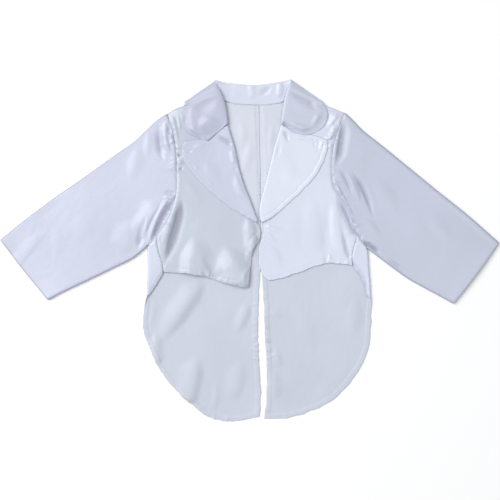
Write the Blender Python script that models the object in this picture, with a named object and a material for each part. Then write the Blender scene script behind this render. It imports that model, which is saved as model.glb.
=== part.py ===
"""Satin tail coat for a small child, laid out flat with its front up.

Lengths in the tables are millimetres. X runs along the sleeves, Y from the tails to the collar
and Z up from the surface that the coat lies on, where Z is nought.
"""
import bpy
import numpy as np
from mathutils import Vector
from mathutils.geometry import delaunay_2d_cdt

# Cloth and construction
MM = 0.001
CLOTH = 1.0            # thickness of the satin with its backing
BEND = 2.0             # radius of the middle of the cloth where it turns over
SEAM = 0.5             # space between two pieces along a seam
REST = 0.5             # space between two pieces that lie on each other
LATTICE = 16.0         # spacing of points in plain cloth
EDGE_STEP = 13.0       # spacing of points along an edge
ARC = tuple(BEND * (1 - np.cos(a)) for a in (0.0, np.pi / 4, np.pi / 2))
FLAT = CLOTH / 2       # height of the middle of a piece that lies on the surface
OVER = FLAT + 2 * BEND  # height of the middle of a piece that has turned over once
LIFT = CLOTH + REST    # one layer more
PUFF = 0.9             # air under the middle of a front
PUFF_REACH = 40.0      # distance over which that air builds up from the seams
SEAM_RISE = 34.0       # width of the rise of a front towards the armhole and the side
SHOULDER_DROP = 12.0   # width of its drop towards the shoulder
FALL_SLOPE = (5.0, 14.0)  # where the back climbs on to the collar's fall, from its edge
ROLL_WIDTH = 30.0      # width over which a lapel sinks from its roll to the front
FOLD_FADE = 10.0       # distance from a turned edge over which folds grow
FOLD_STEP = 10.0       # spacing of points along a fold
FOLD_CLEAR = 3.2       # least space between points of two folds
LAPEL_LATTICE = 11.0   # spacing of points in a lapel
SHARP = 50.0           # degrees above which an edge stays crisp

# Satin colours, base colour and roughness
SATIN_FRONT = (0.66, 0.71, 0.86, 0.34)
SATIN_SLEEVE = (0.64, 0.69, 0.84, 0.36)
SATIN_LAPEL = (0.70, 0.75, 0.88, 0.32)
SATIN_COLLAR = (0.60, 0.62, 0.78, 0.38)
SATIN_REVERSE = (0.60, 0.64, 0.74, 0.55)


def table(columns, *rows):
    """Rows of numbers under named columns."""
    values = np.array(rows, dtype=float)
    return {name: values[:, i] for i, name in enumerate(columns.split())}


# Body seams, each from the neck down: a row for each level
ARMHOLE_LEFT = table(
    "x y",
    (-124.0, 204.0), (-116.0, 180.0), (-111.0, 153.0), (-109.5, 117.0), (-111.0, 81.0),
    (-118.0, 57.0), (-129.0, 36.0), (-140.0, 19.0), (-153.0, 6.0))
ARMHOLE_RIGHT = table(
    "x y",
    (142.5, 206.0), (134.0, 183.0), (127.0, 160.5), (123.5, 135.0), (123.5, 111.0),
    (127.0, 93.0), (136.0, 79.5), (145.5, 63.0), (153.0, 46.5), (162.0, 22.5), (178.0, 1.0))
SIDE_LEFT = table("x y", (-140.0, 19.0), (-137.0, 0.0), (-131.0, -19.5), (-129.0, -33.0))
SIDE_RIGHT = table("x y", (162.0, 22.5), (158.0, 9.0), (154.0, -6.0), (154.5, -23.0))
SHOULDER_LEFT = table(
    "x y",
    (-55.0, 234.0), (-75.0, 225.0), (-91.0, 216.4), (-100.0, 215.6), (-111.0, 211.5),
    (-124.0, 204.0))
SHOULDER_RIGHT = table(
    "x y",
    (70.0, 234.0), (90.0, 224.5), (104.0, 217.2), (112.0, 217.0), (126.0, 212.5), (142.5, 206.0))
NECK_BACK = table(
    "x y",
    (-55.0, 234.0), (-46.0, 227.5), (-32.0, 222.0), (-14.0, 219.0), (15.0, 217.5),
    (33.0, 219.0), (50.0, 222.0), (61.0, 227.5), (70.0, 234.0))
CENTRE_BACK = table("x y", (15.0, 217.5), (16.0, 150.0), (17.0, 60.0), (17.0, -30.0))

# Tails, from the top of the vent or from the hem of the front
VENT_LEFT = table(
    "x y",
    (16.5, -30.0), (14.5, -60.0), (13.2, -90.0), (12.5, -127.5), (13.5, -157.5),
    (15.5, -183.0), (17.0, -215.0), (15.0, -250.0))
VENT_RIGHT = table(
    "x y",
    (17.5, -30.0), (20.0, -60.0), (22.0, -90.0), (23.0, -127.5), (25.0, -155.0),
    (26.0, -190.0), (25.0, -228.0), (22.0, -253.5))
CUTAWAY_LEFT = table("x y", (-129.0, -34.5), (-139.0, -51.0), (-148.5, -66.0))
CUTAWAY_RIGHT = table("x y", (154.5, -24.5), (164.0, -37.0), (172.0, -52.5), (176.5, -70.0))
TAIL_LEFT = table(
    "x y",
    (-158.5, -93.0), (-160.5, -107.0), (-158.5, -125.0), (-149.0, -149.0), (-136.0, -178.0),
    (-112.0, -209.0), (-86.0, -233.0), (-60.0, -251.5), (-27.0, -257.5), (15.0, -250.0))
TAIL_RIGHT = table(
    "x y",
    (183.0, -93.0), (182.0, -120.0), (178.0, -150.0), (154.0, -195.0), (124.0, -226.0),
    (90.0, -242.5), (56.0, -252.5), (22.0, -253.5))

# Side folds, where the back turns over to the front
FOLD_LEFT = table(
    "x y",
    (-151.5, 30.0), (-151.5, -54.0), (-152.5, -69.0), (-156.0, -84.0), (-161.0, -99.0),
    (-168.0, -120.0), (-176.0, -150.0))
FOLD_RIGHT = table(
    "x y",
    (174.0, 30.0), (175.5, 0.0), (177.0, -27.0), (179.0, -50.0), (180.5, -75.0),
    (182.5, -90.0), (188.0, -120.0), (194.0, -150.0))

# Front edges: roll line of the lapel, closing edge below it, hem
ROLL_LEFT = table(
    "x y",
    (-32.0, 187.5), (-27.0, 171.0), (-22.5, 156.0), (-18.5, 138.0), (-14.5, 120.0),
    (-7.0, 96.0), (2.0, 73.5), (8.0, 57.5), (13.5, 42.5))
ROLL_RIGHT = table(
    "x y",
    (47.0, 187.5), (42.0, 171.0), (37.5, 156.0), (33.0, 137.0), (28.5, 118.5),
    (22.0, 94.0), (16.5, 73.5), (14.5, 58.5), (17.0, 42.5))
INNER_LEFT = table(
    "x y",
    (-55.0, 234.0), (-47.0, 213.0), (-36.5, 188.0), (-27.5, 156.0), (-20.0, 122.0),
    (-12.0, 94.5), (-3.5, 71.0), (4.0, 53.0), (13.0, 38.0))
INNER_RIGHT = table(
    "x y",
    (70.0, 234.0), (62.0, 213.0), (52.0, 188.0), (43.5, 160.0), (34.5, 127.0),
    (27.5, 94.5), (22.8, 71.0), (21.0, 54.0), (21.3, 44.0), (20.5, 37.0))
CLOSING_LEFT = table(
    "x y",
    (13.0, 38.0), (16.5, 31.5), (17.0, 24.0), (13.5, 13.0), (6.5, 1.5), (3.0, -12.0),
    (2.0, -24.0), (0.0, -39.0), (-1.5, -56.5))
CLOSING_RIGHT = table(
    "x y",
    (20.5, 37.0), (21.0, 28.5), (20.0, 19.5), (16.5, 12.0), (14.0, 3.0), (14.0, -9.0),
    (14.5, -19.5), (16.5, -28.5), (19.5, -37.5), (28.5, -45.5))
HEM_LEFT = table(
    "x y",
    (-1.5, -56.5), (-14.0, -55.0), (-37.0, -49.5), (-56.0, -43.5), (-74.0, -38.5),
    (-101.0, -35.0), (-129.0, -33.0))
HEM_RIGHT = table(
    "x y",
    (28.5, -45.5), (41.0, -44.0), (61.0, -38.0), (83.0, -30.5), (98.0, -24.5),
    (112.0, -20.5), (132.0, -20.0), (154.5, -23.0))

# Lapels: top edge under the collar, then outer edge down to the closing point
GORGE_LEFT = table("x y", (-32.0, 187.5), (-67.0, 168.0), (-97.0, 163.5))
GORGE_RIGHT = table(
    "x y", (47.0, 187.5), (61.0, 181.5), (80.0, 175.5), (103.0, 170.0), (117.5, 164.5))
LAPEL_LEFT = table(
    "x y",
    (-97.0, 163.5), (-101.5, 151.5), (-99.0, 137.0), (-92.0, 124.0), (-79.0, 108.0),
    (-55.5, 85.0), (-28.0, 63.0), (-5.0, 49.5), (12.0, 41.0))
LAPEL_RIGHT = table(
    "x y",
    (117.5, 164.5), (116.5, 150.0), (111.0, 133.5), (100.0, 113.0), (80.0, 90.0),
    (56.0, 67.5), (36.0, 50.5), (18.5, 40.5))

# Sleeves: top and low edges from the armhole to the cuff
SLEEVE_TOP_LEFT = table(
    "x y",
    (-124.0, 204.0), (-137.0, 195.5), (-154.0, 180.0), (-173.0, 162.0), (-199.0, 144.0),
    (-248.0, 109.0), (-301.0, 72.0), (-350.0, 34.5), (-374.0, 15.0))
SLEEVE_LOW_LEFT = table(
    "x y",
    (-153.0, 6.0), (-172.0, -10.0), (-205.0, -27.0), (-242.0, -45.0), (-280.0, -63.0),
    (-303.0, -75.0))
SLEEVE_TOP_RIGHT = table(
    "x y",
    (142.5, 206.0), (151.0, 198.5), (169.0, 180.0), (193.0, 161.0), (236.0, 126.0),
    (280.0, 90.0), (325.0, 54.0), (374.5, 10.5))
SLEEVE_LOW_RIGHT = table(
    "x y",
    (178.0, 1.0), (190.0, -8.0), (214.0, -26.0), (238.0, -43.0), (263.0, -57.0),
    (289.0, -71.0), (306.5, -80.5))

# Lower edge of the collar's fall, which lies under the back
FALL_UNDER = table(
    "x y",
    (-134.0, 285.0), (-110.0, 237.0), (-95.0, 216.0), (-74.0, 201.0), (-52.0, 192.0),
    (5.0, 184.5), (64.0, 192.0), (88.0, 201.0), (109.0, 216.0), (124.0, 237.0), (145.0, 285.0))

# Folds in the cloth: start and end of the crest, half width and height, troughs below nought
FOLDS_FRONT_LEFT = table(
    "x0 y0 x1 y1 half height",
    (-103.0, 66.0, -121.0, -2.0, 9.0, -2.4),
    (-97.0, 24.0, -99.0, -20.0, 13.0, 2.4),
    (-67.0, 0.0, -30.0, -40.0, 14.0, 2.0),
    (-2.0, 26.0, -10.0, 4.0, 14.0, 1.8),
    (-60.0, 40.0, -86.0, 34.0, 14.0, 1.2),
    (-101.0, 183.0, -108.0, 160.0, 8.0, 1.4))
FOLDS_FRONT_RIGHT = table(
    "x0 y0 x1 y1 half height",
    (110.0, 84.0, 112.0, -8.0, 10.0, -1.4),
    (131.0, 66.0, 133.0, 4.0, 12.0, 1.4),
    (40.0, 20.0, 60.0, -24.0, 14.0, 1.6),
    (96.0, 60.0, 84.0, 0.0, 14.0, 1.2))
FOLDS_TAIL_LEFT = table(
    "x0 y0 x1 y1 half height",
    (-107.0, -72.0, -140.0, -130.0, 13.0, 3.2),
    (-66.0, -62.0, -112.0, -128.0, 13.0, 2.4),
    (-68.0, -177.0, -82.0, -222.0, 10.0, 2.0),
    (-1.0, -88.0, -15.0, -124.0, 9.0, 1.8))
FOLDS_TAIL_RIGHT = table(
    "x0 y0 x1 y1 half height",
    (158.0, -60.0, 160.0, -130.0, 14.0, 1.4),
    (70.0, -70.0, 96.0, -170.0, 16.0, 1.2))
FOLDS_SLEEVE_LEFT = table(
    "x0 y0 x1 y1 half height",
    (-120.0, 74.0, -145.0, 62.0, 12.0, 2.6),
    (-145.0, 62.0, -172.0, 34.0, 13.0, 3.2),
    (-172.0, 34.0, -192.0, 8.0, 12.0, 2.6),
    (-131.0, 50.0, -149.0, 17.0, 9.0, -1.6),
    (-128.0, 153.0, -149.0, 138.0, 9.0, 1.8),
    (-155.0, 134.0, -179.0, 120.0, 9.0, 1.5),
    (-338.0, -13.0, -310.0, 19.0, 9.0, -1.3),
    (-235.0, 40.0, -262.0, 10.0, 14.0, 1.3))
FOLDS_SLEEVE_RIGHT = table(
    "x0 y0 x1 y1 half height",
    (138.0, 170.0, 133.0, 134.0, 8.0, -1.5),
    (152.0, 160.0, 150.0, 124.0, 9.0, 1.4),
    (163.0, 108.0, 185.0, 42.0, 10.0, -1.5),
    (182.0, 112.0, 206.0, 46.0, 14.0, 1.8),
    (270.0, 50.0, 300.0, 20.0, 14.0, 1.2))

# Collar sections from the left front end round the neck to the right front end: the seam at the
# neck, the turned edge, the stand and the fall beside that edge, and the fall's outer edge
COLLAR = table(
    "nx ny nz fx fy fz stand fall ex ey ez",
    (-37.5, 189.0, 5.2, -32.0, 189.5, 7.3, 5.4, 9.3, -62.0, 163.0, 7.4),
    (-41.0, 199.0, 5.2, -33.0, 199.5, 7.2, 5.4, 9.2, -93.0, 175.5, 6.8),
    (-45.5, 208.5, 5.2, -34.5, 210.0, 7.4, 5.6, 9.4, -99.5, 193.0, 6.8),
    (-49.5, 218.5, 5.2, -37.5, 223.0, 7.6, 5.8, 9.6, -98.5, 208.5, 6.8),
    (-51.5, 228.0, 5.2, -43.0, 237.5, 7.4, 6.0, 9.2, -98.5, 214.5, 6.9),
    (-49.0, 231.0, 4.8, -48.5, 248.0, 6.6, 6.4, 7.4, -96.6, 219.8, 6.2),
    (-44.0, 229.5, 4.2, -50.5, 254.5, 4.6, 6.2, 3.8, -97.4, 221.6, 3.6),
    (-38.0, 227.0, 3.4, -46.0, 253.5, 2.8, 5.0, 0.8, -96.0, 219.4, 0.7),
    (-29.0, 223.0, 2.8, -37.0, 251.5, 2.5, 4.6, 0.5, -74.0, 201.5, 0.5),
    (-14.0, 220.0, 1.9, -17.0, 249.0, 2.5, 4.5, 0.5, -32.0, 188.5, 0.5),
    (15.0, 218.5, 1.9, 6.0, 247.5, 2.5, 4.5, 0.5, 5.0, 185.0, 0.5),
    (33.0, 220.0, 1.9, 30.0, 249.5, 2.5, 4.5, 0.5, 42.0, 188.5, 0.5),
    (46.0, 223.0, 2.8, 47.0, 252.5, 2.5, 4.6, 0.5, 84.0, 200.5, 0.5),
    (53.0, 227.0, 3.4, 57.0, 254.5, 2.8, 5.0, 0.8, 107.0, 219.0, 0.7),
    (59.0, 229.5, 4.2, 62.5, 255.5, 4.6, 6.2, 3.8, 109.6, 222.2, 3.6),
    (64.0, 231.0, 4.8, 61.0, 250.0, 6.6, 6.4, 7.4, 110.0, 219.8, 6.2),
    (67.0, 227.0, 5.2, 56.0, 238.5, 7.4, 6.0, 9.2, 115.0, 212.0, 6.9),
    (65.0, 218.0, 5.2, 52.0, 224.0, 7.6, 5.8, 9.6, 117.0, 198.0, 6.8),
    (61.0, 209.0, 5.2, 49.5, 210.0, 7.4, 5.6, 9.4, 107.0, 181.5, 6.8),
    (57.0, 200.0, 5.2, 48.0, 200.0, 7.3, 5.4, 9.3, 86.0, 172.5, 7.4),
    (52.5, 190.5, 5.2, 47.0, 190.0, 7.4, 5.4, 9.6, 64.0, 176.5, 8.6))
COLLAR_SECTIONS = 41


def line(seam):
    """The x and y columns of a seam as points."""
    return np.stack((seam["x"], seam["y"]), axis=1)


def lengths(points):
    """Distance travelled along the points."""
    return np.concatenate(([0.0], np.cumsum(np.linalg.norm(np.diff(points, axis=0), axis=1))))


def hermite(points, slopes, knots, where):
    """Smooth reading between points with given slopes."""
    cell = np.clip(np.searchsorted(knots, where, side="right") - 1, 0, len(knots) - 2)
    span = (knots[cell + 1] - knots[cell])[:, None]
    t = ((where - knots[cell]) / span[:, 0])[:, None]
    start = (2 * t**3 - 3 * t**2 + 1) * points[cell] + (t**3 - 2 * t**2 + t) * span * slopes[cell]
    end = (3 * t**2 - 2 * t**3) * points[cell + 1] + (t**3 - t**2) * span * slopes[cell + 1]
    return start + end


def smooth(points, knots, where):
    """Smooth curve through the points, which lie at the knots."""
    return hermite(points, np.gradient(points, knots, axis=0), knots, where)


def curve(seam, step=EDGE_STEP, ends=()):
    """A seam as even points, with extra ones at the given distances from both ends."""
    points = line(seam)
    knots = lengths(points)
    fine = smooth(points, knots, np.linspace(0, knots[-1], 400))
    travel = lengths(fine)
    total = travel[-1]
    margin = ends[-1] if ends else 0.0
    count = max(2, int(round((total - 2 * margin) / step)) + 1)
    stops = np.linspace(margin, total - margin, count)
    if ends:
        inner = np.array(ends[:-1])
        stops = np.concatenate((inner, stops, total - inner[::-1]))
    return np.stack([np.interp(stops, travel, fine[:, i]) for i in range(2)], axis=1)


def aside(points, distance):
    """The points moved to the left of their direction."""
    direction = np.gradient(points, axis=0)
    direction /= np.linalg.norm(direction, axis=1)[:, None]
    return points + distance * np.stack((-direction[:, 1], direction[:, 0]), axis=1)


def closed(*pieces):
    """One outline from edges that follow each other; ends that nearly meet become one point."""
    outline = [np.array(p, dtype=float) for p in pieces]
    for i, piece in enumerate(outline):
        after = outline[(i + 1) % len(outline)]
        if np.linalg.norm(piece[-1] - after[0]) < 3 * SEAM:
            middle = (piece[-1] + after[0]) / 2
            after[0] = middle
            outline[i] = piece[:-1]
    return np.concatenate(outline)


def nearest(points, path):
    """Distance from each point to a path."""
    start, end = path[:-1], path[1:]
    span = end - start
    rel = points[:, None, :] - start[None]
    t = np.clip((rel * span).sum(2) / np.maximum((span * span).sum(1), 1e-9), 0, 1)
    return np.linalg.norm(rel - t[..., None] * span, axis=2).min(axis=1)


def inside(points, outline):
    """Whether each point lies inside an outline."""
    a, b = outline, np.roll(outline, -1, axis=0)
    x, y = points[:, 0:1], points[:, 1:2]
    straddle = (a[:, 1] > y) != (b[:, 1] > y)
    slope = (b[:, 0] - a[:, 0]) / np.where(b[:, 1] == a[:, 1], 1e-9, b[:, 1] - a[:, 1])
    return (straddle & (x < a[:, 0] + slope * (y - a[:, 1]))).sum(axis=1) % 2 == 1


def across_folds(folds):
    """Rows of points along the crest and both flanks of each fold."""
    rows = []
    for x0, y0, x1, y1, half in zip(*(folds[k] for k in ("x0", "y0", "x1", "y1", "half"))):
        run = np.array((x1 - x0, y1 - y0))
        size = np.linalg.norm(run)
        side = np.array((-run[1], run[0])) / size
        count = max(2, int(size / FOLD_STEP) + 1)
        along = np.array((x0, y0)) + np.linspace(-0.15, 1.15, count + 2)[:, None] * run
        rows += [along + offset * half * side for offset in (0.0, -0.5, 0.5, -1.0, 1.0)]
    return np.concatenate(rows)


def fill(outline, ranks=(), loose=None, step=LATTICE):
    """Triangles inside an outline: given rows first, then folds, then an even lattice."""
    edges = [(i, (i + 1) % len(outline)) for i in range(len(outline))]
    points = list(outline)
    ring = np.vstack((outline, outline[:1]))
    for row, tied in ranks:
        keep = inside(row, outline) & (nearest(row, ring) > 0.2)
        last = None
        for p, ok in zip(row, keep):
            if not ok:
                last = None
                continue
            points.append(p)
            if last is not None and tied:
                edges.append((last, len(points) - 1))
            last = len(points) - 1
    low, high = outline.min(axis=0), outline.max(axis=0)
    xs = np.arange(low[0], high[0], step)
    ys = np.arange(low[1], high[1], step * np.sqrt(3) / 2)
    lattice = np.array([(x + (j % 2) * step / 2, y) for j, y in enumerate(ys) for x in xs])
    fixed = np.array(points)
    for group, clear in ((loose, FOLD_CLEAR), (lattice, 0.62 * step)):
        if group is None:
            continue
        group = group[inside(group, outline)]
        group = group[nearest(group, ring) > min(clear, 0.45 * step)]
        for p in group:
            if np.linalg.norm(fixed - p, axis=1).min() > clear:
                fixed = np.vstack((fixed, p))
    result = delaunay_2d_cdt([Vector(p) for p in fixed], edges, [], 1, 1e-5)
    flat = np.array([tuple(v) for v in result[0]])
    cells = np.array([tuple(f) for f in result[2]])
    middles = flat[cells].mean(axis=1)
    cells = cells[inside(middles, outline)]
    corner = flat[cells]
    one, two = corner[:, 1] - corner[:, 0], corner[:, 2] - corner[:, 0]
    turn = one[:, 0] * two[:, 1] - one[:, 1] * two[:, 0]
    cells[turn < 0] = cells[turn < 0][:, ::-1]
    return flat, cells


def folds_height(flat, folds):
    """Height that the folds add at each point."""
    ridge, trough = np.zeros(len(flat)), np.zeros(len(flat))
    for x0, y0, x1, y1, half, rise in zip(*folds.values()):
        gap = nearest(flat, np.array(((x0, y0), (x1, y1))))
        swell = rise * np.clip(1 - (gap / half) ** 2, 0, 1) ** 2
        ridge, trough = np.maximum(ridge, swell), np.minimum(trough, swell)
    return ridge + trough


def ease(t):
    """Soft step from nought to one."""
    t = np.clip(t, 0, 1)
    return t * t * (3 - 2 * t)


def normals(points, cells):
    """Mean normal at each point."""
    corner = points[cells]
    face = np.cross(corner[:, 1] - corner[:, 0], corner[:, 2] - corner[:, 0])
    face /= np.maximum(np.linalg.norm(face, axis=1), 1e-9)[:, None]
    total = np.zeros_like(points)
    for i in range(3):
        one = corner[:, (i + 1) % 3] - corner[:, i]
        two = corner[:, (i + 2) % 3] - corner[:, i]
        cosine = (one * two).sum(1) / np.maximum(
            np.linalg.norm(one, axis=1) * np.linalg.norm(two, axis=1), 1e-9)
        np.add.at(total, cells[:, i], face * np.arccos(np.clip(cosine, -1, 1))[:, None])
    return total / np.maximum(np.linalg.norm(total, axis=1), 1e-9)[:, None]


def wall(name, middle, cells, satin):
    """Closed cloth wall round a middle surface, with its own satin."""
    out = normals(middle, cells) * CLOTH / 2
    count = len(middle)
    used = set()
    for a, b, c in cells:
        used |= {(a, b), (b, c), (c, a)}
    rim = [(a, b) for a, b in used if (b, a) not in used]
    faces = [tuple(int(i) for i in c) for c in cells]
    faces += [tuple(int(i) + count for i in c[::-1]) for c in cells]
    for a, b in sorted(rim):
        faces.append((int(b), int(a), int(a) + count))
        faces.append((int(b), int(a) + count, int(b) + count))
    points = np.concatenate((middle + out, middle - out)) * MM
    mesh = bpy.data.meshes.new(name)
    mesh.from_pydata(points.tolist(), [], faces)
    mesh.polygons.foreach_set("use_smooth", [True] * len(mesh.polygons))
    mesh.set_sharp_from_angle(angle=np.radians(SHARP))
    material = bpy.data.materials.new(name + "_satin")
    material.use_nodes = True
    shader = material.node_tree.nodes["Principled BSDF"]
    shader.inputs["Base Color"].default_value = (*satin[:3], 1.0)
    shader.inputs["Roughness"].default_value = satin[3]
    shader.inputs["Metallic"].default_value = 0.0
    mesh.materials.append(material)
    mesh.update()
    body = bpy.data.objects.new(name, mesh)
    bpy.context.collection.objects.link(body)
    return body


def hinge_at(hinge, y):
    """Place of a turning line at each level."""
    order = np.argsort(hinge[:, 1])
    return np.interp(y, hinge[order, 1], hinge[order, 0])


def opened(points, hinge, side):
    """Where points of the turned layer lie before the cloth is turned at the line."""
    x = hinge_at(hinge, points[:, 1])
    back = side * (x - points[:, 0])
    return np.stack((x + side * (np.pi * BEND + back), points[:, 1]), axis=1)


def turned(flat, hinge, side, rise, height):
    """Cloth beyond the line bends round and lies back, over itself or under itself."""
    x = hinge_at(hinge, flat[:, 1])
    reach = side * (flat[:, 0] - x)
    angle = np.clip(reach / BEND, 0, np.pi)
    back = np.maximum(reach - np.pi * BEND, 0)
    placed = np.where(reach > 0, x + side * (BEND * np.sin(angle) - back), flat[:, 0])
    base = height(np.stack((np.where(reach > 0, x, flat[:, 0]), flat[:, 1]), axis=1))
    return np.stack((placed, flat[:, 1], base + rise * BEND * (1 - np.cos(angle))), axis=1)


def bend_rows(hinge, side, step=EDGE_STEP):
    """Rows of points that give the bend its round shape."""
    low, high = hinge[:, 1].min(), hinge[:, 1].max()
    ys = np.linspace(low, high, max(2, int((high - low) / step)))
    x = hinge_at(hinge, ys)
    turns = (0.0, 0.25, 0.5, 0.75, 1.0)
    return [(np.stack((x + side * t * np.pi * BEND, ys), axis=1), True) for t in turns]


def back_height(flat):
    """The back lies on the surface, and on the collar's fall near the neck."""
    fall = curve(FALL_UNDER)
    low = np.interp(flat[:, 0], fall[:, 0], fall[:, 1])
    above = flat[:, 1] > low
    gap = nearest(flat, fall)
    near, far = FALL_SLOPE
    return FLAT + (CLOTH + SEAM) * np.where(above, 1.0, ease((far - gap) / (far - near)))


def front_height(flat, armhole, side, shoulder, folds):
    """The front lies on the back and rises to its seams with the sleeve and the side."""
    rest = back_height(flat) + LIFT
    seams = np.minimum(nearest(flat, line(armhole)), nearest(flat, line(side)))
    top = nearest(flat, line(shoulder))
    near = np.exp(-((seams / SEAM_RISE) ** 2)) * ease((top - CLOTH) / SHOULDER_DROP)
    puff = PUFF * (1 - near) * ease(seams / PUFF_REACH) * ease((FLAT + 2 * LIFT - rest) / CLOTH)
    raised = rest + np.maximum(OVER - rest, 0) * near + puff
    clear = ease(top / SHOULDER_DROP)
    return np.maximum(raised + clear * folds_height(flat, folds), rest)


def back(name, sign, armhole, side, shoulder, cutaway, fold, tail, vent, folds):
    """One half of the back with its tail; its side turns over to the side seam."""
    hinge = curve(fold)
    neck = curve(NECK_BACK)
    centre = line(CENTRE_BACK)[0]
    neck = neck[neck[:, 0] < centre[0]] if sign < 0 else neck[neck[:, 0] > centre[0]][::-1]
    hole = aside(curve(armhole), -sign * SEAM / 2)
    within = sign * (hole[:, 0] - hinge_at(hinge, hole[:, 1])) < -0.5
    low = hole[within & (hole[:, 1] > hole[-1, 1] + 2.0)]
    notch_y = hole[-1, 1] + 0.4
    x = hinge_at(hinge, np.array([notch_y]))[0]
    notch = np.array([(x + sign * t * np.pi * BEND, notch_y - 2.4 * np.sin(t * np.pi))
                      for t in (0.0, 0.25, 0.5, 0.75, 1.0)])
    corner = line(side)[0]
    fine = aside(curve(armhole, 4.0), -sign * SEAM / 2)
    within = sign * (fine[:, 0] - hinge_at(hinge, fine[:, 1])) < -0.8
    top = fine[within & (fine[:, 1] < corner[1] - 1.0) & (fine[:, 1] > notch_y + 1.5)][::-1]
    seam = aside(curve(side), sign * SEAM / 2)
    over = opened(np.concatenate((top, seam, curve(cutaway))), hinge, sign)
    ys = np.linspace(cutaway["y"][-1], tail["y"][0], 5)[1:-1]
    share = (ys - tail["y"][0]) / (cutaway["y"][-1] - tail["y"][0])
    crossing = np.stack((hinge_at(hinge, ys) + sign * share * np.pi * BEND, ys), axis=1)
    middle = curve(CENTRE_BACK)[::-1]
    gap = sign * SEAM / 2
    outline = closed(
        np.vstack((centre + (gap, 0), neck[::-1])), curve(shoulder), low, notch, over, crossing,
        curve(tail), curve(vent)[::-1], middle + (gap, 0))
    flat, cells = fill(outline, bend_rows(hinge, sign), across_folds(folds))
    placed = turned(flat, hinge, sign, 1, back_height)
    reach = sign * (flat[:, 0] - hinge_at(hinge, flat[:, 1]))
    placed[:, 2] += np.where(reach < 0, folds_height(flat, folds) * ease(-reach / FOLD_FADE), 0)
    return wall(name, placed, cells, SATIN_REVERSE)


def front(name, sign, armhole, side, shoulder, inner, closing, hem, folds):
    """One front, from the shoulder to the waist hem."""
    hole = curve(armhole)
    corner = line(side)[0]
    hole = hole[hole[:, 1] > corner[1] + 2.0]
    edge = sign * SEAM / 2
    outline = closed(
        curve(shoulder), aside(hole, -edge), aside(curve(side), -edge),
        curve(hem)[::-1], curve(closing)[::-1], curve(inner)[::-1])
    flat, cells = fill(outline, (), across_folds(folds))
    height = front_height(flat, armhole, side, shoulder, folds)
    return wall(name, np.column_stack((flat, height)), cells, SATIN_FRONT)


def lapel(name, sign, roll, inner, gorge, outer, height_of_front):
    """A lapel lies on the front, and goes round the roll line to meet the front's inner edge."""
    inward = -sign
    hinge = curve(roll) + (-inward * (BEND + CLOTH / 2), 0)
    meet = curve(inner)
    meet = meet[(meet[:, 1] < hinge[:, 1].max()) & (meet[:, 1] > hinge[:, 1].min() + 4.0)]
    meet = meet + (inward * SEAM, 0)
    under = opened(meet, hinge, inward)
    rounding = [hinge[0] + (inward * t * np.pi * BEND, 0) for t in (0.0, 0.25, 0.5, 0.75, 1.0)]
    tip = [hinge[-1] + (inward * t * np.pi * BEND, 0) for t in (1.0, 0.75, 0.5, 0.25, 0.0)]
    outline = closed(curve(outer)[:-1], np.array(tip[::-1]), under[::-1],
                     np.array(rounding[::-1]), curve(gorge)[1:])
    flat, cells = fill(outline, bend_rows(hinge, inward), None, LAPEL_LATTICE)

    def lie(points):
        x = hinge_at(hinge, points[:, 1])
        at_roll = np.stack((x, points[:, 1]), axis=1)
        rolled = back_height(at_roll) + LIFT + 2 * BEND
        resting = height_of_front(points) + LIFT + SEAM / 2
        away = inward * (x - points[:, 0])
        share = 1 - ease(away / ROLL_WIDTH)
        return resting + (rolled - resting) * share

    placed = turned(flat, hinge, inward, -1, lie)
    return wall(name, placed, cells, SATIN_LAPEL)


def sleeve(name, top, low, armhole, sign, folds):
    """A sleeve: a flattened tube, round at its top and low edges and open at both ends."""
    upper = curve(top, ends=ARC)
    lower = curve(low, ends=ARC)
    hole = aside(curve(armhole, ends=ARC), sign * SEAM / 2)
    upper[0], lower[0] = hole[0], hole[-1]
    cuff = np.stack((lower[-1], upper[-1]))
    cuff_seam = table("x y", cuff[0], cuff.mean(axis=0) + (1.5 * sign, 0), cuff[1])
    mouth = curve(cuff_seam, ends=ARC)
    plain = slice(len(ARC) - 1, 1 - len(ARC))
    upper_edge = np.vstack((upper[:1], upper[plain][1:-1], upper[-1:]))
    lower_edge = np.vstack((lower[:1], lower[plain][1:-1], lower[-1:]))
    outline = closed(hole, lower_edge, mouth, upper_edge[::-1])
    centre = outline.mean(axis=0)
    ranks = []
    for edge in (upper_edge, lower_edge):
        direction = np.gradient(edge, axis=0)
        direction /= np.linalg.norm(direction, axis=1)[:, None]
        side = np.stack((-direction[:, 1], direction[:, 0]), axis=1)
        side *= np.sign(((centre - edge) * side).sum(1))[:, None]
        ranks += [(edge[1:-1] + inset * side[1:-1], True) for inset in ARC[1:]]
    flat, cells = fill(outline, ranks, across_folds(folds))
    gap = np.minimum(nearest(flat, upper_edge), nearest(flat, lower_edge))
    shared = gap < 1e-4
    bulge = np.sqrt(np.maximum(BEND**2 - (BEND - np.minimum(gap, BEND)) ** 2, 0))
    middle = FLAT + BEND
    lift = folds_height(flat, folds) * ease((gap - BEND) / FOLD_FADE)
    over = np.column_stack((flat, middle + bulge + lift))
    under = np.column_stack((flat, middle - bulge))
    index = np.arange(len(flat)) + len(flat)
    index[shared] = np.where(shared)[0]
    below = index[cells[:, ::-1]]
    points = np.vstack((over, under))
    both = np.vstack((cells, below))
    used = np.unique(both)
    renumber = np.zeros(len(points), dtype=int)
    renumber[used] = np.arange(len(used))
    return wall(name, points[used], renumber[both], SATIN_SLEEVE)


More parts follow.
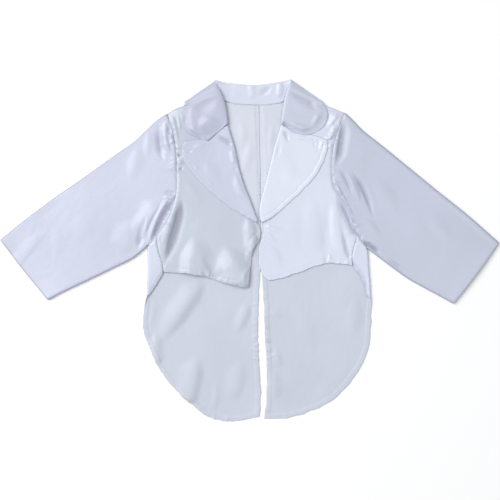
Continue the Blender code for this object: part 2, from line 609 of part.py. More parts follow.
def collar(name):
    """The collar: sections round the neck, each from the neck seam over the turned edge."""
    sections = []
    rows = np.stack(list(COLLAR.values()), axis=1)
    for nx, ny, nz, fx, fy, fz, stand, fall, ex, ey, ez in rows:
        neck, edge, tip = np.array((nx, ny)), np.array((ex, ey)), np.array((fx, fy))
        to_neck = (neck - tip) / np.linalg.norm(neck - tip)
        to_edge = (edge - tip) / np.linalg.norm(edge - tip)
        inner, outer = tip + BEND * to_neck, tip + BEND * to_edge
        sections.append([
            (*neck, nz),
            (*((neck + inner) / 2), (nz + stand) / 2 + 0.3),
            (*inner, stand),
            (*tip, fz),
            (*outer, fall),
            (*(outer + (edge - outer) * 0.5), (fall + ez) / 2),
            (*edge, ez)])
    grid = np.array(sections)
    lengthwise = lengths(grid[:, 3])
    stops = np.linspace(0, lengthwise[-1], COLLAR_SECTIONS)
    across = np.array((0.0, 0.5, 0.85, 1.0, 1.15, 1.5, 2.0))
    fine = np.empty((COLLAR_SECTIONS, grid.shape[1], 3))
    for j in range(grid.shape[1]):
        fine[:, j] = smooth(grid[:, j], lengthwise, stops)
    places = np.concatenate((
        np.linspace(0, 0.78, 3), (0.85, 0.93, 1.0, 1.07, 1.15), np.linspace(1.3, 2.0, 5)))
    cloth = np.empty((COLLAR_SECTIONS, len(places), 3))
    for i in range(COLLAR_SECTIONS):
        cloth[i] = smooth(fine[i], across, places)
    points = cloth.reshape(-1, 3)
    wide = len(places)
    cells = []
    for i in range(COLLAR_SECTIONS - 1):
        for j in range(wide - 1):
            a, b = i * wide + j, i * wide + j + 1
            c, d = a + wide, b + wide
            cells += [(a, c, b), (b, c, d)]
    return wall(name, points, np.array(cells), SATIN_COLLAR)


def build():
    """All pieces of the coat."""
    for thing in list(bpy.data.objects):
        bpy.data.objects.remove(thing)
    back("back_left", -1, ARMHOLE_LEFT, SIDE_LEFT, SHOULDER_LEFT, CUTAWAY_LEFT, FOLD_LEFT,
         TAIL_LEFT, VENT_LEFT, FOLDS_TAIL_LEFT)
    back("back_right", 1, ARMHOLE_RIGHT, SIDE_RIGHT, SHOULDER_RIGHT, CUTAWAY_RIGHT, FOLD_RIGHT,
         TAIL_RIGHT, VENT_RIGHT, FOLDS_TAIL_RIGHT)
    front("front_left", -1, ARMHOLE_LEFT, SIDE_LEFT, SHOULDER_LEFT, INNER_LEFT, CLOSING_LEFT,
          HEM_LEFT, FOLDS_FRONT_LEFT)
    front("front_right", 1, ARMHOLE_RIGHT, SIDE_RIGHT, SHOULDER_RIGHT, INNER_RIGHT, CLOSING_RIGHT,
          HEM_RIGHT, FOLDS_FRONT_RIGHT)
    lapel("lapel_left", -1, ROLL_LEFT, INNER_LEFT, GORGE_LEFT, LAPEL_LEFT,
          lambda p: front_height(p, ARMHOLE_LEFT, SIDE_LEFT, SHOULDER_LEFT, FOLDS_FRONT_LEFT))
    lapel("lapel_right", 1, ROLL_RIGHT, INNER_RIGHT, GORGE_RIGHT, LAPEL_RIGHT,
          lambda p: front_height(p, ARMHOLE_RIGHT, SIDE_RIGHT, SHOULDER_RIGHT, FOLDS_FRONT_RIGHT))
    sleeve("sleeve_left", SLEEVE_TOP_LEFT, SLEEVE_LOW_LEFT, ARMHOLE_LEFT, -1, FOLDS_SLEEVE_LEFT)
    sleeve("sleeve_right", SLEEVE_TOP_RIGHT, SLEEVE_LOW_RIGHT, ARMHOLE_RIGHT, 1,
           FOLDS_SLEEVE_RIGHT)
    collar("collar")


build()
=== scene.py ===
"""Looks of a satin tail coat for a small child, laid out flat with its front up.

Lengths in the tables and the sewing functions are millimetres. X runs along the sleeves, Y from
the tails to the collar and Z up from the surface that the coat lies on, where Z is nought.
Left and right are those of someone who looks at the front.
"""

import bpy
import numpy as np
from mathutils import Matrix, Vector
from mathutils.geometry import delaunay_2d_cdt
from mathutils.bvhtree import BVHTree
from mathutils.kdtree import KDTree


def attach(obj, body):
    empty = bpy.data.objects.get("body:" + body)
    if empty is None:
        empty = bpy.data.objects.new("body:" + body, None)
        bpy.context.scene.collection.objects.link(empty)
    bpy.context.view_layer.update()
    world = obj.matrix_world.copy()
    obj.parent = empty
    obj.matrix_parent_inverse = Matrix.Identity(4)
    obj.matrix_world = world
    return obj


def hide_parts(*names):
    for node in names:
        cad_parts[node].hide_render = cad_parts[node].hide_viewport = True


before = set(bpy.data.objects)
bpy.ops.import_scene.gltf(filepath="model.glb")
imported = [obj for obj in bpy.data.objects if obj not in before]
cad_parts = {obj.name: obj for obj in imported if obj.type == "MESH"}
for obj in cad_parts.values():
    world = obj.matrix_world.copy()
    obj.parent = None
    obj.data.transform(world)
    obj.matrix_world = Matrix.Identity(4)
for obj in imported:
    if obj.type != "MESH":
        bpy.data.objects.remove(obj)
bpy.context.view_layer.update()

# Cloth and construction
MM = 0.001
SATIN = 0.6            # thickness of the satin
HEM_EXTRA = 0.5        # more thickness where an edge is turned in
HEM_WIDE = 6.5         # width of a turned edge, up to its stitches
HEM_STEP = 0.9         # width over which the extra thickness ends
FRONT_EXTRA = 0.12     # more thickness on top of a front's hem
LAPEL_EXTRA = (0.1, 0.3)  # more thickness at a lapel's edge, above and below
EDGE_ROUND = 1.0       # distance over which a turned edge is round
EDGE_LEAST = 0.12      # share of its thickness at the very edge
AIR = 0.06             # least space between two layers
BEND = 2.0             # radius of the middle of the cloth where it turns over
LAYER = 1.5            # height of one layer on another
FLAT = 0.5             # height of the middle of a piece that lies on the surface
OVER = FLAT + 2 * BEND  # height of the middle of a piece that has turned over once
PUFF = 0.9             # air under the middle of a front
PUFF_REACH = 40.0      # distance over which that air builds up from the seams
SEAM_RISE = 34.0       # width of the rise of a front towards the armhole and the side
SHOULDER_DROP = 12.0   # width of its drop towards the shoulder
SHOULDER_CALM = 30.0   # distance from the shoulder over which loose cloth grows uneven
FALL_SLOPE = (5.0, 32.0)  # where the back climbs on to the collar's fall, from its edge
ROLL_WIDTH = 30.0      # width over which a lapel sinks from its roll to the front
LAPEL_CLEAR = 1.75     # height of the middle of a lapel above the middle of the front
FOLD_FADE = 10.0       # distance from a turned edge over which folds grow
SEAM_HOLD = 3.0        # distance from a seam over which it holds the folds down
SEAM_GIVE = 0.6        # part of that distance that lies on the seam's other side
SEAM_DIP = 1.0         # depth of the valley along a seam
SIDE_DIP = 0.9         # depth of the valley along a side seam
SEAM_DIP_WIDE = 3.2    # half the width of both
SHOULDER_SINK = 0.5    # how far a front sinks at the shoulder seam
SHOULDER_FADE = (5.0, 8.0, 10.0)  # widths over which that ends, and gathers and seam valley grow
CLOSING_CALM = (2.0, 12.0)  # where those of the closing edge start beside the lapel, and grow
ROLL_CALM = (1.5, 5.0)  # where a lapel's own folds end beyond its roll, and over what width
OVER_GROWS = 4.0       # width over which the turned side of the back gets its own gathers
GATHER_LEAST = -0.1    # how far the back's gathers may sink
BACK_GROOVE = 0.3      # depth of the back's stitch grooves as a share of the others'
BACK_SHADE = 0.3       # how much more painted shade the inside of the back takes, as a depth
LOW = 0.03             # least height of the underside
HEM_DROOP = 0.35       # how far a hem sinks on to the layer below
LAPEL_DROOP = 0.55     # how far the edge of a lapel sinks
DROOP_WIDE = 8.0       # width over which both sink
CUTAWAY_SINK = 2.0     # how far the turned side of the back sinks at its low edge
CUTAWAY_WIDE = 16.0    # and over what width
NOTCH = 2.4            # depth of the notch where the side of the back starts to turn over
NOTCH_RISE = 0.4       # its level above the end of the armhole
NOTCH_CLEAR = (0.5, 2.0)  # how far the armhole's lower layer ends from it, across and up
SIDE_CLEAR = (0.8, 1.5, 1.0)  # and its turned layer: across, up, and down from the side seam
INSIDE_PAINTED_LIGHT_FROM = 20.0     # level above which the inside of the back takes a lighter copy of its satin, painted light against the collar's shadow
STITCHES_CLEAR = 3.0   # how far from the side fold the back's stitches end
MEET_GAP = 0.2         # gap between a lapel and the front's inner edge, beneath the roll
MEET_CLEAR = 4.0       # height above the closing point at which the lapel first meets it
ALLOWANCE_ENDS = (-28.0, 215.0)  # levels between which the centre seam's allowances show
ALLOWANCE_THICK = 0.9  # their thickness as a share of a hem's
EDGE_PAINTED_SHADE = 0.85       # how much painted shade a sleeve's round edges and cuff take
EDGE_PAINTED_SHADE_WIDE = 3.2   # and how far in
CUFF_BOW = 1.5         # how far the middle of a cuff bows outwards
CUFF_WIDE = 0.6        # more thickness in the hem of a cuff, as a share
CUFF_HEM = 10.0        # width of that hem
CUFF_LENGTH = 45.0     # length over which a sleeve lies flatter or fuller at its cuff
CUFF_SIDE = 30.0       # width over which that grows from its two edges
TROUGH = 1.4           # depth of a fold of the front in which its gathers fade
TROUGH_CALM = 0.85     # and the share of them that goes
GROOVE = (0.28, 0.9)   # depth and half width of the groove that stitches pull in
PAINTED_SHADE_DEPTHS = (0.7, 2.3)    # depth from which a fold takes painted shade, and how much deeper that painted shade is full

# Gathers at each edge: spacing, height, reach, and what is added to the half's seed
GATHERS = {
    "tail_hem": (8.0, 0.9, 12.0, 2), "vent": (6.0, 1.25, 14.0, 3), "back_side": (7.0, 0.7, 10.0, 4),
    "front_armhole": (6.5, 1.1, 18.0, 5), "front_side": (6.5, 0.9, 9.0, 6),
    "front_hem": (5.2, 1.7, 13.0, 7), "closing": (6.0, 0.9, 8.0, 8), "lapel": (7.5, 0.7, 9.0, 9),
    "roll": (9.0, 1.0, 9.0, 10), "sleeve_armhole": (7.0, 1.2, 22.0, 12),
    "underarm": (7.5, 1.5, 13.0, 13), "collar_edge": (12.0, 0.5, 10.0, 62)}
# How gathers differ, as shares of these, how they lean, and how often they rise or sink
GATHER_SPREAD = {"pitch": (0.5, 1.5), "half": (0.28, 0.6), "rise": (0.15, 1.0),
                 "reach": (0.35, 1.4), "lean": (-0.5, 0.5), "way": (1.0, 1.0, -0.8)}
GATHER_PLAIN = 0.6     # strength of the gathers away from the marked places
GATHER_MORE = 1.1      # what a marked place adds
GATHER_FADE = 1.5      # power by which a gather dies out over its reach
# Broad unevenness of each piece: height, length, and what is added to the seed
DRIFTS = {"back": (0.28, 95.0, 0), "front": (0.22, 70.0, 1), "lapel": (0.14, 60.0, 0),
          "sleeve": (0.34, 90.0, 11), "collar": (0.16, 50.0, 61)}
DRIFT_WAVES = 10
DRIFT_SPREAD = (0.6, 2.0)  # shortest and longest wave as shares of the length
DRIFT_BEND = (0.16, 4.1)   # how far and how often the waves themselves bend
DRIFT_SUM = 3          # usual height of all the waves together
# Unevenness of each free edge: size, and what is added to the seed
FREE_EDGES = {"tail": (0.45, 14), "vent": (0.4, 15), "closing": (0.35, 16), "hem": (0.45, 17),
              "lapel": (0.3, 18)}
EDGE_WAVES = 6
EDGE_WAVE = (9, 38)    # length of its shortest and longest wave
EDGE_WAVE_SUM = 2.4    # usual height of all the waves together
EDGE_CALM = 8.0        # distance from its ends over which they grow

# Meshes
EDGE_STEP = 2.0        # spacing of points along an edge
COARSE = 6.0           # spacing along a seam that is only measured from
ROLL_STEP = 4.0        # along the roll of a lapel
FALL_STEP = 8.0        # along the collar's fall beneath the back
ROW_CLEAR = 0.1        # least distance of a row of points from the piece's edge
ROW_BREAK = 6.0        # distance from which two points of a row aren't joined
SMOOTH_POINTS = 400    # points along a curve before they are spaced
FINE = 1.7             # spacing of points near seams and sharp folds
LATTICE_ROW = 0.866    # distance of two rows of the lattice, in its spacing
CLEAR_FINE = 0.76      # least distance of a lattice point from the given ones, in its spacing
CLEAR_WIDE = 0.9       # and where the lattice is sparse
INSET_CLEAR = 0.93     # share of its distance that an inset row keeps from all edges
BUSY = 13.0            # width of the fine bands along edges and seams
BANDS = {"allowance": 5.0, "roll": 9.0, "cuff": 6.0, "sleeve_side": 3.0,
         "sleeve_armhole": 15.0}  # those with another width
NARROW = 7.5           # half width below which a crease needs fine cloth
CREASE_POINTS = 13     # points along a crease
CREASE_TIP = 0.4       # width of a crease at its ends, as a share
EDGE_ROWS = (0.15, 0.5, 1.0)    # distances of rows of points from a free edge
SEAM_ROWS = (0.8, 1.8)          # from a seam
STITCH_ROWS = (-1.0, 0.0, 1.0)  # from a line of stitches
BEND_ROWS = 9          # rows of points round a turned edge
NOTCH_POINTS = 7
CROSSING_POINTS = 12   # across the side fold, from the cutaway to the tail
ARC_TURNS = np.radians((0.0, 15.0, 30.0, 50.0, 70.0, 90.0))
ARC = tuple(BEND * (1 - np.cos(ARC_TURNS)))
THIN_CELL = 0.06       # height of a triangle that is too thin
BLOCK = 4000           # points that are measured at a time


def table(columns, *rows):
    """Rows of numbers under named columns."""
    values = np.array(rows, dtype=float)
    return {name: values[:, i] for i, name in enumerate(columns.split())}


# The two halves: width, length and area of each piece's cut, in metres; distance of the lapel's
# stitches from its edge, how full the edge outside them is and how deep they lie; height of the
# gathers along the roll; how much painted shade the folds of the front take; how far the cuff's top
# sinks
LEFT = {
    "name": "left", "sign": -1, "seed": 11, "grain": np.radians(218.0),
    "back_cut": (0.197, 0.492, 0.0704), "front_cut": (0.157, 0.291, 0.0286),
    "lapel_cut": (0.120, 0.146, 0.0087), "sleeve_cut": (0.290, 0.315, 0.0722),
    "topstitch": 5.6, "edge_roll": 0.2, "topstitch_depth": 0.5, "roll_pucker": 0.9,
    "fold_shade": 1.6, "cuff_drop": 1.3}
RIGHT = {
    "name": "right", "sign": 1, "seed": 31, "grain": np.radians(-38.0),
    "back_cut": (0.191, 0.488, 0.0646), "front_cut": (0.148, 0.280, 0.0272),
    "lapel_cut": (0.112, 0.146, 0.0092), "sleeve_cut": (0.280, 0.306, 0.0673),
    "topstitch": 7.0, "edge_roll": 0.36, "topstitch_depth": 1.6, "roll_pucker": 0.3,
    "fold_shade": 1.0, "cuff_drop": -0.6}

# Body seams, each from the neck down: a row for each level
LEFT["armhole"] = table(
    "x y",
    (-124, 204), (-116, 180), (-111, 153), (-109.5, 117), (-111, 81), (-118, 57), (-129, 36),
    (-140, 19), (-153, 6))
RIGHT["armhole"] = table(
    "x y",
    (142.5, 206), (134, 183), (127, 160.5), (123.5, 135), (123.5, 111), (127, 93), (136, 79.5),
    (145.5, 63), (153, 46.5), (162, 22.5), (178, 1))
LEFT["side"] = table("x y", (-140, 19), (-137, 0), (-131, -19.5), (-129, -33))
RIGHT["side"] = table("x y", (162, 22.5), (158, 9), (154, -6), (154.5, -23))
LEFT["shoulder"] = table(
    "x y",
    (-55, 234), (-75, 225), (-91, 216.4), (-100, 215.6), (-111, 211.5), (-124, 204))
RIGHT["shoulder"] = table(
    "x y",
    (70, 234), (90, 224.5), (104, 217.2), (112, 217), (126, 212.5), (142.5, 206))
NECK_BACK = table(
    "x y",
    (-55, 234), (-46, 227.5), (-32, 222), (-14, 219), (15, 217.5), (33, 219), (50, 222),
    (61, 227.5), (70, 234))
CENTRE_BACK = table("x y", (15, 217.5), (16, 150), (17, 60), (17, -30))

# Tails, from the top of the vent or from the hem of the front
LEFT["vent"] = table(
    "x y",
    (16.5, -30), (14.5, -60), (13.2, -90), (12.5, -127.5), (13.5, -157.5), (15.5, -183),
    (17, -215), (15, -250))
RIGHT["vent"] = table(
    "x y",
    (17.5, -30), (20, -60), (22, -90), (23, -127.5), (25, -155), (26, -190), (25, -228),
    (22, -253.5))
LEFT["cutaway"] = table("x y", (-129, -34.5), (-139, -51), (-148.5, -66))
RIGHT["cutaway"] = table("x y", (154.5, -24.5), (164, -37), (172, -52.5), (176.5, -70))
LEFT["tail"] = table(
    "x y",
    (-158.5, -93), (-160.5, -107), (-158.5, -125), (-149, -149), (-136, -178), (-112, -209),
    (-86, -233), (-60, -251.5), (-27, -257.5), (15, -250))
RIGHT["tail"] = table(
    "x y",
    (183, -93), (182, -120), (178, -150), (154, -195), (124, -226), (90, -242.5), (56, -252.5),
    (22, -253.5))

# Side folds, where the back turns over to the front
LEFT["fold"] = table(
    "x y",
    (-151.5, 30), (-151.5, -54), (-152.5, -69), (-156, -84), (-161, -99), (-168, -120),
    (-176, -150))
RIGHT["fold"] = table(
    "x y",
    (174, 30), (175.5, 0), (177, -27), (179, -50), (180.5, -75), (182.5, -90), (188, -120),
    (194, -150))

# Front edges: roll line of the lapel, closing edge below it, hem
LEFT["roll"] = table(
    "x y",
    (-32, 187.5), (-27, 171), (-22.5, 156), (-18.5, 138), (-14.5, 120), (-7, 96), (2, 73.5),
    (8, 57.5), (13.5, 42.5))
RIGHT["roll"] = table(
    "x y",
    (47, 187.5), (42, 171), (37.5, 156), (33, 137), (28.5, 118.5), (22, 94), (16.5, 73.5),
    (14.5, 58.5), (17, 42.5))
LEFT["inner"] = table(
    "x y",
    (-55, 234), (-47, 213), (-36.5, 188), (-27.5, 156), (-20, 122), (-12, 94.5), (-3.5, 71),
    (4, 53), (13, 38))
RIGHT["inner"] = table(
    "x y",
    (70, 234), (62, 213), (52, 188), (43.5, 160), (34.5, 127), (27.5, 94.5), (22.8, 71), (21, 54),
    (21.3, 44), (20.5, 37))
LEFT["closing"] = table(
    "x y",
    (13, 38), (16.5, 31.5), (17, 24), (13.5, 13), (6.5, 1.5), (3, -12), (2, -24), (0, -39),
    (-1.5, -56.5))
RIGHT["closing"] = table(
    "x y",
    (20.5, 37), (21, 28.5), (20, 19.5), (16.5, 12), (14, 3), (14, -9), (14.5, -19.5),
    (16.5, -28.5), (19.5, -37.5), (28.5, -45.5))
LEFT["hem"] = table(
    "x y",
    (-1.5, -56.5), (-14, -55), (-37, -49.5), (-56, -43.5), (-74, -38.5), (-101, -35), (-129, -33))
RIGHT["hem"] = table(
    "x y",
    (28.5, -45.5), (41, -44), (61, -38), (83, -30.5), (98, -24.5), (112, -20.5), (132, -20),
    (154.5, -23))

# Lapels: top edge under the collar, then outer edge down to the closing point
LEFT["gorge"] = table("x y", (-32, 187.5), (-67, 168), (-97, 163.5))
RIGHT["gorge"] = table("x y", (47, 187.5), (61, 181.5), (80, 175.5), (103, 170), (117.5, 164.5))
LEFT["lapel"] = table(
    "x y",
    (-97, 163.5), (-101.5, 151.5), (-99, 137), (-92, 124), (-79, 108), (-55.5, 85), (-28, 63),
    (-5, 49.5), (12, 41))
RIGHT["lapel"] = table(
    "x y",
    (117.5, 164.5), (116.5, 150), (111, 133.5), (100, 113), (80, 90), (56, 67.5), (36, 50.5),
    (18.5, 40.5))

# Sleeves: top and low edges from the armhole to the cuff
LEFT["sleeve_top"] = table(
    "x y",
    (-124, 204), (-137, 195.5), (-154, 180), (-173, 162), (-199, 144), (-248, 109), (-301, 72),
    (-350, 34.5), (-374, 15))
LEFT["sleeve_low"] = table(
    "x y",
    (-153, 6), (-172, -10), (-205, -27), (-242, -45), (-280, -63), (-303, -75))
RIGHT["sleeve_top"] = table(
    "x y",
    (142.5, 206), (151, 198.5), (169, 180), (193, 161), (236, 126), (280, 90), (325, 54),
    (374.5, 10.5))
RIGHT["sleeve_low"] = table(
    "x y",
    (178, 1), (190, -8), (214, -26), (238, -43), (263, -57), (289, -71), (306.5, -80.5))

# Lower edge of the collar's fall, which lies under the back
FALL_UNDER = table(
    "x y",
    (-134, 285), (-110, 237), (-95, 216), (-74, 201), (-52, 192), (5, 184.5), (64, 192),
    (88, 201), (109, 216), (124, 237), (145, 285))

# The seam allowances of the centre back, pressed flat and stitched: their two edges
LEFT["allowance"] = table("x y", (9, 213), (10.5, 170), (12.5, 110), (13.5, 30))
RIGHT["allowance"] = table("x y", (18.8, 213), (21, 170), (22.5, 110), (23.5, 20))

# Creases, each along a curve through three points: half widths to the left and to the right of
# its run, rise of its crest, and the shares of its run over which it grows and dies out
CREASE = "x0 y0 x1 y1 x2 y2 left right rise start end"
LEFT["front_folds"] = table(
    CREASE,
    (-100, 92, -111, 34, -134, -34, 14, 10, -2.5, 0.35, 0.4),
    (-112, 66, -122, 33, -133, 4, 7, 7, 1.3, 0.3, 0.4),
    (-80, 26, -83.5, -6, -87, -40, 39, 23, 5.4, 0.62, 0.05),
    (-45, 8, -26, -20, -10, -66, 30, 40, 6.2, 0.5, 0.24),
    (-68, -4, -57, -25, -42, -46, 14, 10, -1.2, 0.35, 0.2),
    (-5, 56, 1.5, 27, 3, -14, 12, 14, 2.5, 0.4, 0.3),
    (12, 22, 6, 10, 2, -10, 4.5, 7, 1, 0.15, 0.5),
    (12, 27, 4, 19, -3, 14, 3.4, 3.4, -0.8, 0.2, 0.6),
    (5, 4, -1, -8, -3, -26, 4, 6.5, 1, 0.2, 0.6),
    (2, -26, -6, -34, -10, -50, 5, 6, 1.2, 0.3, 0.4),
    (-117, 203, -112, 186, -107, 158, 4.2, 5, 1.3, 0.25, 0.4),
    (-108.5, 204, -105, 190, -105, 172, 4, 4, 1.1, 0.35, 0.5),
    (-99, 206, -101, 196, -98, 184, 3.6, 3.6, 0.8, 0.35, 0.5),
    (-109, 146, -105.5, 142, -102, 138, 3, 3, -1.8, 0.35, 0.4),
    (-107, 119, -103.5, 121.5, -99, 123.5, 2.8, 2.8, -1.7, 0.35, 0.4),
    (-107, 134, -103, 131, -98, 128, 3.2, 3.2, 1.3, 0.35, 0.5),
    (-96, 110, -84, 84, -66, 58, 12, 10, 0.9, 0.4, 0.5),
    (-60, 52, -74, 38, -94, 30, 14, 12, 0.8, 0.5, 0.5))
RIGHT["front_folds"] = table(
    CREASE,
    (93, 92, 96, 37, 100, -12, 16, 22, 1.5, 0.5, 0.25),
    (119, 84, 117, 30, 115, -16, 9, 9, -0.8, 0.35, 0.15),
    (128, 80, 132, 27, 141, -14, 10, 13, 1.5, 0.35, 0.2),
    (129, 92, 146.5, 56, 162.5, 19, 3.6, 11, -2.8, 0.4, 0.12),
    (134, 84, 149, 54, 160, 24, 2.8, 2.8, 1.7, 0.25, 0.15),
    (160, 19, 156, 1.5, 152, -14, 2.8, 2.8, 1.4, 0.2, 0.2),
    (140, 32, 146, 5, 151, -16, 4, 6, -1.9, 0.4, 0.15),
    (113, -8, 114, -13, 114, -20, 2.6, 2.6, -1, 0.3, 0.2),
    (119, -6, 121, -12, 121, -19, 2.8, 2.8, 1.1, 0.3, 0.2),
    (129, 186, 124, 176, 119, 164, 4.5, 4, 2.2, 0.3, 0.3),
    (131, 208, 128, 198, 116, 184, 5, 5, 1.8, 0.3, 0.35),
    (120, 208, 119, 199, 115, 192, 4, 4, -1, 0.3, 0.4),
    (124, 170, 119, 168, 112, 168, 3.4, 3.4, 1.8, 0.25, 0.4),
    (125, 158, 121, 156, 117, 150, 3.2, 3.2, 1.2, 0.3, 0.5),
    (30, 14, 38, -10, 52, -32, 12, 12, 1, 0.5, 0.4),
    (24, 38, 38, 31, 56, 32, 6, 6, 1, 0.15, 0.6),
    (23, 28, 33, 18, 42, 2, 6, 6, 0.9, 0.15, 0.6),
    (74, 66, 66, 30, 70, -6, 16, 16, 0.7, 0.5, 0.5))
LEFT["tail_folds"] = table(
    CREASE,
    (-68, -44, -98, -84, -136, -142, 17, 24, 4.2, 0.25, 0.45),
    (-138, -122, -141, -146, -137, -176, 13, 10, 2.4, 0.3, 0.25),
    (-78, -156, -83, -190, -93, -230, 15, 28, 3.4, 0.4, 0.1),
    (0, -76, -9, -101, -20, -128, 10, 14, 2.3, 0.4, 0.45),
    (-12, -160, -18, -194, -28, -230, 16, 22, 2, 0.45, 0.35),
    (-52, -190, -50, -214, -54, -240, 8, 8, 1, 0.5, 0.2),
    (-140, -70, -146, -96, -150, -124, 8, 8, 0.8, 0.4, 0.4),
    (3, 166, -3, 140, -14, 110, 12, 9, 1.3, 0.4, 0.5),
    (-18, 200, -10, 176, -16, 150, 9, 8, 1, 0.5, 0.5))
RIGHT["tail_folds"] = table(
    CREASE,
    (160, -66, 158, -100, 152, -138, 14, 17, 1.2, 0.45, 0.45),
    (64, -66, 84, -120, 98, -180, 18, 18, 0.8, 0.5, 0.5),
    (40, -146, 42, -162, 48, -180, 8, 10, 1.5, 0.4, 0.5),
    (34, -176, 36, -200, 40, -228, 16, 10, 1.9, 0.4, 0.4),
    (30, -88, 40, -96, 54, -100, 6, 6, 0.6, 0.4, 0.6),
    (100, -196, 112, -212, 128, -220, 10, 10, 0.7, 0.5, 0.4),
    (38, 204, 33, 172, 31, 136, 7, 7, 0.9, 0.5, 0.5))
LEFT["sleeve_folds"] = table(
    CREASE,
    (-131, 77, -122, 79, -112, 78, 3.4, 3.4, 1.7, 0.35, 0.1),
    (-129, 86, -120, 86, -112, 84, 5, 5, -1.4, 0.35, 0.15),
    (-130, 72, -151, 46, -164, 8, 6, 24, 2.6, 0.25, 0.35),
    (-119, 80, -138, 50, -151, 10, 4, 5, 2.4, 0.2, 0.25),
    (-106, 81, -129, 49, -149, 0, 7.5, 7.5, -3.6, 0.25, 0.35),
    (-154, 54, -161, 28, -167, -2, 6, 8, -2.2, 0.5, 0.3),
    (-170, 52, -180, 22, -192, -12, 18, 30, 2, 0.45, 0.35),
    (-125, 194, -126, 166, -118, 142, 5.5, 6.5, 2.3, 0.25, 0.3),
    (-136, 190, -135, 160, -128, 130, 7, 9, -2.1, 0.35, 0.4),
    (-121, 188, -120, 179, -116, 168, 3, 3, -1.4, 0.3, 0.3),
    (-119, 176, -117, 167, -113, 158, 3, 3, 1.7, 0.25, 0.3),
    (-166, 160, -171, 132, -181, 100, 14, 14, 1.3, 0.45, 0.5),
    (-150, 184, -152, 160, -155, 134, 8, 8, 1.1, 0.45, 0.5),
    (-350, -27, -326, 4, -297, 35, 20, 6.5, 0.8, 0.04, 0.65),
    (-232, 62, -246, 34, -266, 8, 20, 20, 0.5, 0.5, 0.5),
    (-296, 42, -288, 12, -292, -20, 14, 14, 0.4, 0.5, 0.5))
RIGHT["sleeve_folds"] = table(
    CREASE,
    (141, 204, 137.5, 174, 128.5, 120, 16, 4.5, -2.6, 0.35, 0.35),
    (127, 106, 139, 80, 157, 44, 3.2, 3.2, 1.6, 0.25, 0.2),
    (150, 124, 171, 88, 189, 38, 8, 4, -1.9, 0.35, 0.45),
    (133, 126, 145, 106, 155, 82, 5.5, 5, -1.5, 0.35, 0.4),
    (146, 116, 157, 94, 166, 66, 7, 7, 1.5, 0.35, 0.45),
    (186, 112, 202, 84, 222, 48, 20, 16, 0.9, 0.45, 0.5),
    (169, 13, 182.5, 3.5, 199, -8, 6, 5, -7, 0.3, 0.45),
    (200, -11, 216, -22, 240, -38, 6, 5, -3.2, 0.4, 0.5),
    (174, 50, 184, 32, 200, 16, 10, 10, 0.9, 0.4, 0.5),
    (262, 64, 284, 36, 302, 4, 18, 16, 0.8, 0.5, 0.5))
LEFT["lapel_folds"] = table(
    CREASE,
    (-51, 172.5, -38, 165, -25, 156.5, 4, 5, -2, 0.4, 0.25),
    (-27, 152, -24, 139, -22, 126, 4.4, 6, 1.4, 0.35, 0.3),
    (-22.5, 124.5, -21, 121.5, -20, 118.5, 3.2, 3.2, -0.9, 0.4, 0.4),
    (-21, 116, -16, 96, -3, 70, 6, 9, 1.2, 0.4, 0.4),
    (-84, 126, -79, 122.5, -74, 120, 4, 4, 0.6, 0.4, 0.4),
    (-64, 102, -58, 98, -53, 95, 4, 4, 0.6, 0.4, 0.4),
    (-88, 152, -72, 156, -58, 158, 4.5, 4.5, 1, 0.35, 0.5),
    (-95, 146, -90, 148, -84, 150, 3.4, 3.4, -0.9, 0.3, 0.5),
    (-72, 142, -58, 118, -40, 96, 14, 12, 0.9, 0.5, 0.5))
RIGHT["lapel_folds"] = table(
    CREASE,
    (68, 170, 84, 166.5, 104, 163, 2.8, 3.4, 1.1, 0.2, 0.2),
    (94, 168, 97, 161, 99, 150, 3, 3, -0.8, 0.2, 0.5),
    (104, 166, 103.5, 157, 101, 144, 3, 3, -0.7, 0.2, 0.5),
    (110, 164, 108, 158, 104, 150, 2.8, 2.8, 1.1, 0.2, 0.5),
    (50, 180, 55, 172, 60, 158, 4.5, 4.5, -1.8, 0.3, 0.6),
    (46, 168, 44, 150, 38, 132, 5, 5, -0.8, 0.4, 0.5),
    (62, 142, 60, 116, 48, 88, 15, 15, 0.9, 0.5, 0.5))
CREASES_COLLAR = table(
    CREASE,
    (-77, 178, -63, 189, -53, 204, 16, 28, 2.3, 0.4, 0.4),
    (-86, 208, -67, 216, -48, 227, 9, 14, -1.1, 0.4, 0.4),
    (60, 240, 78, 228, 104, 219, 6, 8, -1.3, 0.3, 0.3),
    (62, 226, 80, 214, 100, 208, 12, 12, 1, 0.35, 0.45),
    (84, 222, 94, 215, 102, 210, 7, 7, -0.8, 0.4, 0.4),
    (58, 192, 74, 184, 92, 184, 7, 6, 1.3, 0.3, 0.4),
    (50, 192, 55, 186, 61, 178, 3, 4, -1.9, 0.15, 0.4),
    (104, 206, 100, 196, 92, 186, 5, 6, 1.2, 0.35, 0.4),
    (-94, 184, -80, 178, -66, 172, 6, 6, 1, 0.4, 0.4))
CREASES_STAND = table(
    CREASE,
    (12, 230, 24, 238.5, 37, 247, 7, 7, -1.7, 0.4, 0.45),
    (-35, 254, -32, 240, -27, 225, 13, 12, -0.8, 0.3, 0.35),
    (46, 254, 44.5, 240, 43, 226, 8, 5, 1.5, 0.3, 0.3),
    (2, 254, 3, 240, 5, 224, 8, 7, 1.1, 0.3, 0.3))

# Places where the sewing gathers the cloth most
GATHERED = table(
    "x y reach",
    (-112, 168, 24), (-112, 130, 16), (-132, 44, 30), (6, 20, 22), (-8, -46, 18), (-52, -42, 15),
    (121, 170, 22), (152, 40, 16), (117, -14, 12), (154, -14, 10), (2, -130, 26), (34, -150, 28),
    (-34, -246, 24), (226, -28, 30), (168, 10, 14), (-140, -140, 24), (105, 164, 16),
    (-92, 158, 14), (132, 104, 16))

